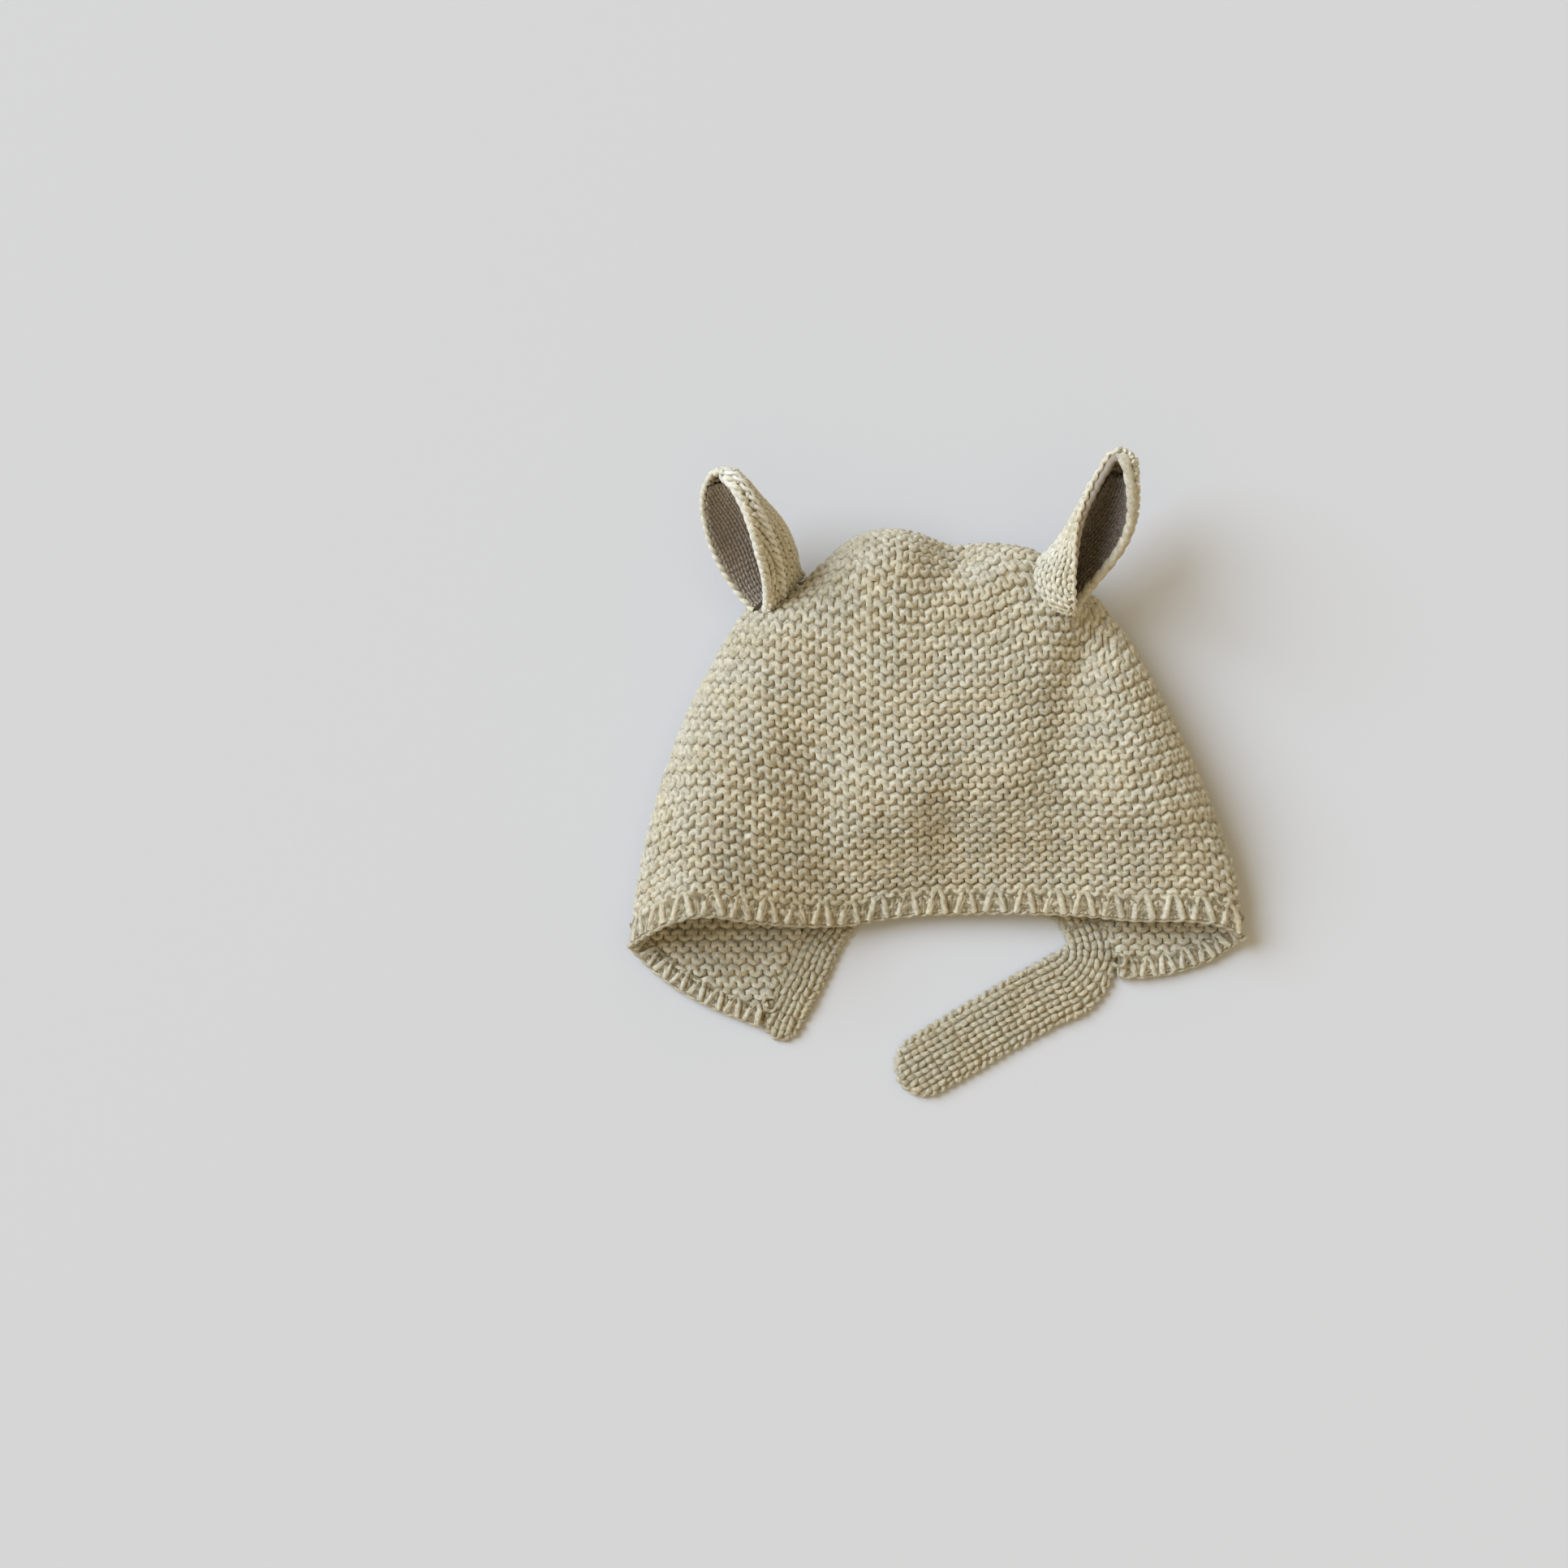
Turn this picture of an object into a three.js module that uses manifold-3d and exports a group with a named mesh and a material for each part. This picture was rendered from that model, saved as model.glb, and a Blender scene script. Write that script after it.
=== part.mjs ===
// Knitted baby beanie with two rabbit ears, lying on its back.
// Millimetres. +X to the right, +Y towards the crown, +Z up from the surface that it lies on.
// Origin: the middle of the outline, on that surface.
import * as THREE from "three";
import Module from "manifold-3d";
import { mergeVertices } from "three/addons/utils/BufferGeometryUtils.js";

const library = await Module();
library.setup();

// Driving dimensions
const middle = { x: -0.6, y: -3.6 }; // middle of the whole outline, in the tables' own coordinates
const wall = 3.4; // garter cloth
const gap = 0.3; // clear space between neighbouring pieces
const foldHeight = 9.5; // side and crown fold above the surface
const cornerFoldHeight = 6.5; // the same fold at the hem corners
const cornerLevel = -55; // how far down the hem corners are
const cornerBlend = 25; // how far up from the corners the fold reaches its full height
const sideRoll = 26; // how far in from the side the front reaches its full height
const hemSideRoll = 14; // the same at the hem
const crownRoll = 17; // how far in from the crown seam the front reaches its full height
const backRoll = 10; // radius of the fold on the back, which is flat from there on
const rollPower = 2.2; // a round fold is 2, a fuller one is more
const hemBlend = 46; // how far up from the hem the front reaches its full height
const ribDepth = 9.5; // ribbed hem
const bandWall = 3.6; // nape band
const strapWall = 4.2; // chin strap
const bandBevel = 0.8; // how far the edges of the bands roll in
const sideFall = 0.1; // how much lower the front is at its sides than along the middle
const flapBottom = -90; // below the tips of the ear flaps
const foldReach = 7; // how far in the ribbing runs level at the fold
const beyond = 130; // outside the cap
const below = -1; // heights that cutting prisms reach from and to
const above = 40;
const tabSteps = 2; // steps of the nape band that lie past the left flap
const weld = 1e-4; // points closer than this are one
const frontColumns = 34;
const frontRows = 15;
const backColumns = 28;
const backRows = 16;
const ribRows = 3;
const strapSteps = 18;
const napeSteps = 22;
const roundEndSteps = 8;

const cream = { color: 0xd3c6a6, roughness: 0.95, metalness: 0 };
const brown = { color: 0x685b4e, roughness: 0.95, metalness: 0 };

// Outline of the lying cap from above
const sideRows = [
  { y: -57, left: -97.3, right: 96.3 },
  { y: -36, left: -94.6, right: 94.0 },
  { y: -12, left: -89.2, right: 85.8 },
  { y: 15, left: -80.0, right: 73.5 },
  { y: 38, left: -68.3, right: 61.2 },
  { y: 55, left: -58.6, right: 50.0 },
  { y: 78, left: -54.0, right: 44.5 },
];

// Crown seam, from the left side (-1) to the right side (1)
const crownRows = [
  { across: -1.0, y: 52.5 },
  { across: -0.88, y: 55.2 },
  { across: -0.76, y: 58.7 },
  { across: -0.62, y: 65.4 },
  { across: -0.5, y: 71.5 },
  { across: -0.28, y: 75.8 },
  { across: -0.06, y: 75.0 },
  { across: 0.14, y: 71.6 },
  { across: 0.46, y: 71.5 },
  { across: 0.7, y: 69.0 },
  { across: 0.86, y: 62.6 },
  { across: 1.0, y: 54.5 },
];

// Front edge of the hem: where it runs, and how high the cloth stands there
const hemRows = [
  { across: -1.0, y: -55.5, top: 14 },
  { across: -0.92, y: -50.1, top: 21 },
  { across: -0.82, y: -46.2, top: 26 },
  { across: -0.72, y: -45.8, top: 25 },
  { across: -0.62, y: -47.6, top: 21 },
  { across: -0.5, y: -48.9, top: 16 },
  { across: -0.39, y: -49.6, top: 11.5 },
  { across: -0.28, y: -49.3, top: 8.6 },
  { across: -0.15, y: -47.2, top: 7.8 },
  { across: 0.1, y: -45.9, top: 7.8 },
  { across: 0.38, y: -46.0, top: 9.6 },
  { across: 0.5, y: -46.5, top: 11 },
  { across: 0.66, y: -47.8, top: 13 },
  { across: 0.85, y: -48.0, top: 14 },
  { across: 0.95, y: -50.2, top: 13 },
  { across: 1.0, y: -53.0, top: 12 },
];

// Height of the front panel along the middle
const bodyRows = [
  { y: -57, rise: 24 },
  { y: -10, rise: 29 },
  { y: 25, rise: 31 },
  { y: 55, rise: 28 },
  { y: 78, rise: 24 },
];

// Humps and dents of the front panel: middle, half sizes, turn in degrees, rise
const reliefRows = [
  { x: -18, y: 62, across: 15, along: 17, turn: -12, rise: 5.5 },
  { x: 5, y: 68, across: 9, along: 9, turn: 20, rise: -9.0 },
  { x: 24, y: 66, across: 11, along: 8, turn: 0, rise: 2.5 },
  { x: -40, y: 64, across: 6, along: 9, turn: -25, rise: -8.0 },
  { x: -37, y: -12, across: 11, along: 34, turn: 4, rise: -4.5 },
  { x: -11, y: -20, across: 10, along: 30, turn: 0, rise: 2.2 },
  { x: 4, y: -24, across: 8, along: 24, turn: 0, rise: -2.2 },
  { x: 26, y: -18, across: 10, along: 26, turn: 0, rise: 1.6 },
  { x: 38, y: 8, across: 11, along: 36, turn: -12, rise: -4.0 },
  { x: 66, y: -14, across: 18, along: 34, turn: 22, rise: 3.0 },
  { x: 43, y: 36, across: 7, along: 14, turn: -20, rise: -4.5 },
  { x: -66, y: 8, across: 18, along: 40, turn: -18, rise: 2.0 },
];

// Outer edge of the ear flaps, from the hem corner to the tip
const leftFlapEdge = [
  { x: -97.6, y: -55.5 },
  { x: -91.0, y: -63.0 },
  { x: -81.0, y: -70.4 },
  { x: -70.0, y: -76.0 },
  { x: -56.6, y: -81.4 },
];
const rightFlapEdge = [
  { x: 97.0, y: -53.0 },
  { x: 89.0, y: -59.3 },
  { x: 78.5, y: -63.3 },
  { x: 68.0, y: -65.6 },
  { x: 57.5, y: -66.0 },
];

// Nape band: its middle line from the left tab to the chin strap, and its half width
const napeRows = [
  { x: -48.9, y: -79.0, half: 6.8 },
  { x: -45.0, y: -70.5, half: 7.6 },
  { x: -40.6, y: -61.5, half: 7.8 },
  { x: -36.2, y: -52.5, half: 7.6 },
  { x: -29.0, y: -44.0, half: 7.2 },
  { x: -17.0, y: -39.6, half: 7.0 },
  { x: 0.0, y: -38.6, half: 7.0 },
  { x: 20.0, y: -38.4, half: 7.0 },
  { x: 33.0, y: -39.2, half: 7.0 },
  { x: 42.0, y: -42.4, half: 7.0 },
  { x: 46.4, y: -48.6, half: 7.2 },
];

// Chin strap: its middle line from the nape band to its free end, and its half width
const strapRows = [
  { x: 46.2, y: -47.6, half: 7.2 },
  { x: 48.2, y: -53.0, half: 7.8 },
  { x: 47.9, y: -60.1, half: 9.7 },
  { x: 43.2, y: -66.2, half: 11.3 },
  { x: 33.7, y: -71.2, half: 11.0 },
  { x: 20.4, y: -78.7, half: 10.8 },
  { x: 6.3, y: -87.1, half: 10.8 },
  { x: -3.6, y: -93.0, half: 10.5 },
];

const earWall = 2.8;
const facingWall = 1.5;
const facingGap = 0.8; // between the shell and the facing
const earLeast = 0.4; // half width that the tip closes to
const earRowCount = 11;
const earColumnCount = 10;
const shellReach = 90; // degrees round the cup on each side
const facingReach = 82;
const facingEnd = 0.93; // where the facing stops along the ear
const untwisted = 0.35; // where along the ear the cup opens exactly to its open side

// base and tip: middle between the rims; open: where the cup opens to; bow: how far the ear leans out;
// twist: degrees that the cup turns over its length; facingStart: where the facing starts along the ear;
// rows: half width between the rims and depth of the cup
const ears = [
  {
    side: "left",
    base: [-54.9, 47.0, 14.5],
    tip: [-66.8, 89.4, 46.9],
    open: [-0.67, -0.18, 0.61],
    bow: 2.6,
    twist: -4,
    facingStart: 0.16,
    rows: [
      { along: 0, half: 2.0, depth: 23.0 },
      { along: 0.15, half: 8.0, depth: 20.4 },
      { along: 0.35, half: 12.1, depth: 20.6 },
      { along: 0.55, half: 13.2, depth: 17.8 },
      { along: 0.75, half: 12.5, depth: 11.6 },
      { along: 0.9, half: 8.9, depth: 7.4 },
      { along: 0.97, half: 5.2, depth: 4.6 },
      { along: 1, half: 0.4, depth: 1.2 },
    ],
  },
  {
    side: "right",
    base: [39.9, 47.6, 25.5],
    tip: [51.7, 95.8, 42.5],
    open: [0.5, -0.21, 0.7],
    bow: 2.0,
    twist: -125,
    facingStart: 0.28,
    rows: [
      { along: 0, half: 1.5, depth: 6.0 },
      { along: 0.05, half: 4.2, depth: 13.0 },
      { along: 0.15, half: 7.6, depth: 17.8 },
      { along: 0.35, half: 9.3, depth: 15.6 },
      { along: 0.55, half: 9.4, depth: 13.9 },
      { along: 0.75, half: 7.5, depth: 11.2 },
      { along: 0.9, half: 5.2, depth: 8.2 },
      { along: 0.97, half: 3.3, depth: 5.4 },
      { along: 1, half: 0.4, depth: 1.4 },
    ],
  },
];

const clamp01 = (value) => Math.min(1, Math.max(0, value));
const easeInOut = (value) => clamp01(value) ** 2 * (3 - 2 * clamp01(value));
const radians = THREE.MathUtils.degToRad;

// Smooth value of one column of a table at one place along its key column
function readTable(rows, key, at, column) {
  const last = rows.length - 1;
  let i = 0;
  while (i < last - 1 && at > rows[i + 1][key]) i += 1;
  const slope = (a, b) => (rows[b][column] - rows[a][column]) / (rows[b][key] - rows[a][key]);
  const before = (n) => slope(Math.max(n - 1, 0), n || 1);
  const after = (n) => slope(Math.min(n, last - 1), Math.min(n + 1, last));
  const slopeAt = (n) => (before(n) + after(n)) / 2;
  const span = rows[i + 1][key] - rows[i][key];
  const t = clamp01((at - rows[i][key]) / span);
  const start = rows[i][column] * (2 * t ** 3 - 3 * t ** 2 + 1);
  const end = rows[i + 1][column] * (3 * t ** 2 - 2 * t ** 3);
  return start + end + span * (slopeAt(i) * (t ** 3 - 2 * t ** 2 + t) + slopeAt(i + 1) * (t ** 3 - t ** 2));
}

// Rounded edge: 0 at the edge, 1 from the given distance on
const roll = (distance, radius) => (1 - (1 - clamp01(distance / radius)) ** rollPower) ** (1 / rollPower);

function reliefAt(x, y) {
  return reliefRows.reduce((sum, row) => {
    const turn = radians(row.turn);
    const u = ((x - row.x) * Math.cos(turn) + (y - row.y) * Math.sin(turn)) / row.across;
    const v = ((y - row.y) * Math.cos(turn) - (x - row.x) * Math.sin(turn)) / row.along;
    return sum + row.rise * Math.exp(-u * u - v * v);
  }, 0);
}

const foldRise = (y) => easeInOut((y - cornerLevel) / cornerBlend);
const foldAt = (y) => cornerFoldHeight + (foldHeight - cornerFoldHeight) * foldRise(y);
const middleAt = (y) => (readTable(sideRows, "y", y, "left") + readTable(sideRows, "y", y, "right")) / 2;
const halfAt = (y) => (readTable(sideRows, "y", y, "right") - readTable(sideRows, "y", y, "left")) / 2;
const crownAt = (across) => readTable(crownRows, "across", across, "y");
const hemAt = (across) => readTable(hemRows, "across", across, "y");

// A point of the front or back panel. inset 0 is the outer face and inset = wall the inner one;
// seam moves the fold, where the two panels meet, up or down.
function panelPoint(face, across, y, inset, seam) {
  const half = halfAt(y) - inset;
  const x = middleAt(y) + half * across;
  const fold = foldAt(y) + seam;
  const fromSide = half * (1 - Math.abs(across));
  const fromCrown = crownAt(across) - inset - y;
  if (face === "back") {
    const flat = roll(fromSide, backRoll - inset) * roll(fromCrown, backRoll - inset);
    return new THREE.Vector3(x, y, inset + (fold - inset) * (1 - flat));
  }
  const up = easeInOut((y - hemAt(across)) / hemBlend);
  const body = readTable(bodyRows, "y", y, "rise") * (1 - sideFall * across ** 2) + reliefAt(x, y);
  const top = readTable(hemRows, "across", across, "top") * (1 - up) + body * up;
  const side = roll(fromSide, hemSideRoll + (sideRoll - hemSideRoll) * up - inset);
  return new THREE.Vector3(x, y, fold + (top - inset - fold) * side * roll(fromCrown, crownRoll - inset));
}

// Grid of panel points, in rows from one line across the cap to another
function panelGrid(face, columns, rows, from, to, inset, seam) {
  return Array.from({ length: rows + 1 }, (_, r) => Array.from({ length: columns + 1 }, (_, c) => {
    const across = Math.sin((Math.PI / 2) * ((2 * c) / columns - 1));
    const along = (r / rows + Math.sin((Math.PI / 2) * (r / rows))) / 2;
    const end = Math.min(to(across), crownAt(across) - inset);
    return panelPoint(face, across, from(across) + (end - from(across)) * along, inset, seam);
  }));
}

// Closed solid between two grids of points; the upper grid faces up
function solidBetween(upper, lower) {
  const rows = upper.length;
  const columns = upper[0].length;
  const high = (r, c) => r * columns + c;
  const low = (r, c) => (rows + r) * columns + c;
  const faces = [];
  const quad = (a, b, c, d) => faces.push(a, b, c, a, c, d);
  for (let r = 0; r < rows - 1; r += 1) {
    for (let c = 0; c < columns - 1; c += 1) {
      quad(high(r, c), high(r, c + 1), high(r + 1, c + 1), high(r + 1, c));
      quad(low(r, c), low(r + 1, c), low(r + 1, c + 1), low(r, c + 1));
    }
    quad(high(r, 0), high(r + 1, 0), low(r + 1, 0), low(r, 0));
    quad(high(r, columns - 1), low(r, columns - 1), low(r + 1, columns - 1), high(r + 1, columns - 1));
  }
  for (let c = 0; c < columns - 1; c += 1) {
    quad(high(0, c), low(0, c), low(0, c + 1), high(0, c + 1));
    quad(high(rows - 1, c), high(rows - 1, c + 1), low(rows - 1, c + 1), low(rows - 1, c));
  }
  const points = [...upper.flat(), ...lower.flat()].flatMap((p) => [p.x, p.y, p.z]);
  const geometry = new THREE.BufferGeometry();
  geometry.setAttribute("position", new THREE.Float32BufferAttribute(points, 3));
  geometry.setIndex(faces);
  return toSolid(geometry);
}

function toSolid(geometry) {
  const bare = geometry.clone();
  bare.deleteAttribute("normal");
  bare.deleteAttribute("uv");
  const merged = mergeVertices(bare, weld);
  const vertProperties = new Float32Array(merged.attributes.position.array);
  const triVerts = new Uint32Array(merged.index.array);
  return new library.Manifold(new library.Mesh({ numProp: 3, vertProperties, triVerts }));
}

function toGeometry(solid) {
  const mesh = solid.getMesh();
  const geometry = new THREE.BufferGeometry();
  geometry.setAttribute("position", new THREE.BufferAttribute(new Float32Array(mesh.vertProperties), 3));
  geometry.setIndex(new THREE.BufferAttribute(new Uint32Array(mesh.triVerts), 1));
  return geometry;
}

// The main body of a cut, without slivers
function mainBody(solid) {
  return solid.decompose().reduce((best, body) => (body.volume() > best.volume() ? body : best));
}

// Upright prism over a plan outline
function prism(outline, low = below, high = above) {
  const shape = new THREE.Shape(outline.map((p) => new THREE.Vector2(p.x, p.y)));
  const geometry = new THREE.ExtrudeGeometry(shape, { depth: high - low, bevelEnabled: false });
  return toSolid(geometry.translate(0, 0, low));
}

// Front or back panel of garter cloth between two lines across the cap
function panel(face, columns, rows, from, to, seam) {
  const outer = panelGrid(face, columns, rows, from, to, 0, seam);
  const inner = panelGrid(face, columns, rows, from, to, wall, seam);
  return face === "front" ? solidBetween(outer, inner) : solidBetween(inner, outer);
}

// The whole cap with no hollow, grown by the gap, which the ears stand on
function capBody() {
  const grid = (face) => panelGrid(face, frontColumns, frontRows, hemAt, crownAt, -gap, 0);
  return solidBetween(grid("front"), grid("back"));
}

// Middle line of a flat band with its half width and directions at each step
function bandPath(rows, steps) {
  const line = new THREE.CatmullRomCurve3(rows.map((row) => new THREE.Vector3(row.x, row.y, row.half)));
  return line.getPoints(steps).map((point, i) => {
    const tangent = line.getTangent(i / steps).setZ(0).normalize();
    return { x: point.x, y: point.y, half: point.z, tangent };
  });
}

// Point beside the path; sideways is positive on its left, ahead runs along it
const beside = (p, sideways, ahead = 0) => ({
  x: p.x - p.tangent.y * sideways + p.tangent.x * ahead,
  y: p.y + p.tangent.x * sideways + p.tangent.y * ahead,
});

// Plan outline of a flat band, grown all round by extra, with one end rounded and the other flat
function bandOutline(path, extra, roundEnd) {
  const direction = roundEnd === "start" ? -1 : 1;
  const [first, last] = [path[0], path[path.length - 1]];
  const [flat, tip] = roundEnd === "start" ? [last, first] : [first, last];
  const flatSide = (sign) => beside(flat, sign * (flat.half + extra), -extra * direction);
  const cap = Array.from({ length: roundEndSteps - 1 }, (_, i) => {
    const angle = Math.PI * ((i + 1) / roundEndSteps);
    const reach = tip.half + extra;
    return beside(tip, -Math.cos(angle) * reach * direction, Math.sin(angle) * reach * direction);
  });
  const right = path.map((p) => (p === flat ? flatSide(-1) : beside(p, -(p.half + extra))));
  const left = path.map((p) => (p === flat ? flatSide(1) : beside(p, p.half + extra))).reverse();
  return roundEnd === "start" ? [...right, ...left, ...cap] : [...right, ...cap, ...left];
}

// Flat band whose long edges step in at the top and bottom, as rolled knitting does
function flatBand(path, thickness, roundEnd) {
  const broad = prism(bandOutline(path, 0, roundEnd), bandBevel, thickness - bandBevel);
  return prism(bandOutline(path, -bandBevel, roundEnd), 0, thickness).add(broad);
}

// An edge line moved sideways into the flap; at the fold it turns to run straight inwards
function movedIn(edge, depth) {
  return edge.map((p, i) => {
    if (i === 0) return { x: p.x - Math.sign(p.x) * foldReach, y: p.y + depth };
    const after = edge[Math.min(i + 1, edge.length - 1)];
    const tangent = new THREE.Vector2(after.x - edge[i - 1].x, after.y - edge[i - 1].y).normalize();
    const side = Math.sign(tangent.x);
    return { x: p.x - side * tangent.y * depth, y: p.y + side * tangent.x * depth };
  });
}

// Plan strip of ribbing along a flap edge, from outside the fold to the tip
function ribStrip(edge, depth) {
  const outside = Math.sign(edge[0].x) * beyond;
  const inner = movedIn(edge, depth).reverse();
  const corner = edge[0].y;
  return prism([{ x: outside, y: corner }, ...edge, ...inner, { x: outside, y: corner + depth }]);
}

// Cupped ear layer: outset and inset are its two faces, reach is how far round it goes
function earLayer(ear, outset, inset, reach, from, to) {
  const base = new THREE.Vector3(...ear.base);
  const axis = new THREE.Vector3(...ear.tip).sub(base);
  const length = axis.length();
  axis.normalize();
  const open = new THREE.Vector3(...ear.open);
  open.addScaledVector(axis, -open.dot(axis)).normalize();
  const outwards = new THREE.Vector3(Math.sign(ear.open[0]), 0, 0);
  const grid = (depth) => Array.from({ length: earRowCount + 1 }, (_, r) => {
    const along = from + (to - from) * Math.sin((Math.PI / 2) * (r / earRowCount));
    const facing = open.clone().applyAxisAngle(axis, radians(ear.twist) * (along - untwisted));
    const across = axis.clone().cross(facing);
    const halfWidth = Math.max(readTable(ear.rows, "along", along, "half") - depth, earLeast);
    const cupDepth = Math.max(readTable(ear.rows, "along", along, "depth") - depth, earLeast);
    return Array.from({ length: earColumnCount + 1 }, (_, c) => {
      const angle = radians(reach) * ((2 * c) / earColumnCount - 1);
      return base.clone()
        .addScaledVector(axis, (length - depth) * along)
        .addScaledVector(outwards, ear.bow * Math.sin(Math.PI * along))
        .addScaledVector(across, halfWidth * Math.sin(angle))
        .addScaledVector(facing, -cupDepth * Math.cos(angle));
    });
  });
  return solidBetween(grid(inset), grid(outset));
}

// Solids of every piece, by node name
function buildSolids() {
  const ribTop = (across) => hemAt(across) + ribDepth;
  const clothBottom = () => flapBottom;
  const body = capBody();
  const strapPath = bandPath(strapRows, strapSteps);
  const napePath = bandPath(napeRows, napeSteps);
  const strapRoom = prism(bandOutline(strapPath, gap, "end"), below, strapWall + gap);
  const napeRoom = prism(bandOutline(napePath, gap, "start"), below, bandWall + gap);

  const backCloth = panel("back", backColumns, backRows, clothBottom, crownAt, 0);
  const leftRib = backCloth.intersect(ribStrip(leftFlapEdge, ribDepth));
  const rightRib = backCloth.intersect(ribStrip(rightFlapEdge, ribDepth));
  const frontRib = panel("front", frontColumns, ribRows, hemAt, ribTop, -gap / 4);
  const hemBand = frontRib.add(leftRib).add(rightRib).subtract(napeRoom).subtract(strapRoom);

  const napeUpperEdge = napePath.map((p) => beside(p, p.half + gap));
  const backOutline = [
    { x: -beyond, y: leftFlapEdge[0].y }, ...leftFlapEdge, ...napeUpperEdge.slice(tabSteps),
    ...[...rightFlapEdge].reverse(), { x: beyond, y: rightFlapEdge[0].y },
    { x: beyond, y: beyond }, { x: -beyond, y: beyond },
  ];
  const backPanel = panel("back", backColumns, backRows, clothBottom, crownAt, -gap / 2)
    .intersect(prism(backOutline))
    .subtract(ribStrip(leftFlapEdge, ribDepth + gap))
    .subtract(ribStrip(rightFlapEdge, ribDepth + gap))
    .subtract(napeRoom)
    .subtract(strapRoom);
  const frontStart = (across) => ribTop(across) + 1.5 * gap;

  const solids = {
    crown_front: panel("front", frontColumns, frontRows, frontStart, crownAt, gap / 2),
    crown_back: mainBody(backPanel),
    hem_band: hemBand,
    nape_band: flatBand(napePath, bandWall, "start").subtract(strapRoom),
    chin_strap: flatBand(strapPath, strapWall, "end"),
  };
  ears.forEach((ear) => {
    const inside = earWall + facingGap;
    const shell = earLayer(ear, 0, earWall, shellReach, 0, 1);
    const facing = earLayer(ear, inside, inside + facingWall, facingReach, ear.facingStart, facingEnd);
    solids[`ear_${ear.side}_shell`] = shell.subtract(body);
    solids[`ear_${ear.side}_facing`] = facing.subtract(body);
  });
  return solids;
}

const cap = new THREE.Group();
cap.position.set(-middle.x, -middle.y, 0);
Object.entries(buildSolids()).forEach(([name, solid]) => {
  const finish = name.endsWith("facing") ? brown : cream;
  const mesh = new THREE.Mesh(toGeometry(solid), new THREE.MeshStandardMaterial(finish));
  mesh.name = name;
  cap.add(mesh);
});

export default cap;
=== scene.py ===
import math

import bpy
import numpy as np
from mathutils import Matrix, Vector


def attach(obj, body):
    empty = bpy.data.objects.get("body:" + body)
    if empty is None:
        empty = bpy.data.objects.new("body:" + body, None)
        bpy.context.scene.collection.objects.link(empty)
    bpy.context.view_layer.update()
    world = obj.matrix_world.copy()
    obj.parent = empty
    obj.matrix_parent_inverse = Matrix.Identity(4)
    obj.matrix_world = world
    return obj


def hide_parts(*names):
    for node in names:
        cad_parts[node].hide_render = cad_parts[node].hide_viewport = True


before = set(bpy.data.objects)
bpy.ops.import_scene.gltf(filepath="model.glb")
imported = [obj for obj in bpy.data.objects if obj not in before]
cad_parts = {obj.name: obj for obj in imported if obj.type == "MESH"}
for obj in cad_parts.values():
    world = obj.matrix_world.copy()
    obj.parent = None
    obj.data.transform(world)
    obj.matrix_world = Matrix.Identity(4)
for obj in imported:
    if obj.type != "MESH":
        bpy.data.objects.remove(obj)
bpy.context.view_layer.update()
print("frame loaded:", ", ".join(sorted(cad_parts)))

mm = 0.001
capMiddle = (-0.6, -3.6)  # middle of the outline, in the tables' own coordinates

# the cap's cloth, in millimetres
capSettings = {
    "wall": 3.4,
    "ribDepth": 9.5,
    "foldHeight": 9.5,  # of the side folds, which sink towards the hem's corners
    "cornerFoldHeight": 6.5,
    "cornerAt": -55,
    "cornerRun": 25,
    "sideRoll": 26,  # how wide each edge rounds off
    "hemSideRoll": 14,
    "crownRoll": 17,
    "backRoll": 10,
    "rollPower": 2.2,
    "hemBlend": 46,
    "sideFall": 0.1,
    "grid": {"from": -86, "to": 80, "rows": 170, "columns": 160},
}
# outline from above
sideRows = {
    "y": [-57, -36, -12, 15, 38, 55, 78],
    "left": [-97.3, -94.6, -89.2, -80.0, -68.3, -58.6, -54.0],
    "right": [96.3, 94.0, 85.8, 73.5, 61.2, 50.0, 44.5],
}
# crown seam from the left side (-1) to the right side (1)
crownRows = {
    "across": [-1, -0.88, -0.76, -0.62, -0.5, -0.28, -0.06, 0.14, 0.46, 0.7, 0.86, 1],
    "y": [52.5, 55.2, 58.7, 65.4, 71.5, 75.8, 75, 71.6, 71.5, 69, 62.6, 54.5],
}
# front edge of the hem and how high the cloth stands there
hemRows = {
    "across": [
        -1, -0.92, -0.82, -0.72, -0.62, -0.5, -0.39, -0.28, -0.15, 0.1, 0.38, 0.5, 0.66, 0.85, 0.95, 1,
    ],
    "y": [
        -55.5, -50.1, -46.2, -45.8, -47.6, -48.9, -49.6, -49.3,
        -47.2, -45.9, -46, -46.5, -47.8, -48, -50.2, -53,
    ],
    "top": [14, 21, 26, 25, 21, 16, 11.5, 8.6, 7.8, 7.8, 9.6, 11, 13, 14, 13, 12],
}
# height of the front along the middle
bodyRows = {"y": [-57, -10, 25, 55, 78], "rise": [24, 29, 31, 28, 24]}
# humps and dents of the front
reliefRows = {
    "x": [-18, 5, 24, -40, -37, -11, 4, 26, 38, 66, 43, -66],
    "y": [62, 68, 66, 64, -12, -20, -24, -18, 8, -14, 36, 8],
    "across": [15, 9, 11, 6, 11, 10, 8, 10, 11, 18, 7, 18],
    "along": [17, 9, 8, 9, 34, 30, 24, 26, 36, 34, 14, 40],
    "turn": [-12, 20, 0, -25, 4, 0, 0, 0, -12, 22, -20, -18],
    "rise": [5.5, -9, 2.5, -8, -4.5, 2.2, -2.2, 1.6, -4, 3, -4.5, 2],
}
leftFlapEdge = [(-97.6, -55.5), (-91, -63), (-81, -70.4), (-70, -76), (-56.6, -81.4)]
rightFlapEdge = [(97, -53), (89, -59.3), (78.5, -63.3), (68, -65.6), (57.5, -66)]


def clamp01(value):
    return np.clip(value, 0.0, 1.0)


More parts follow.
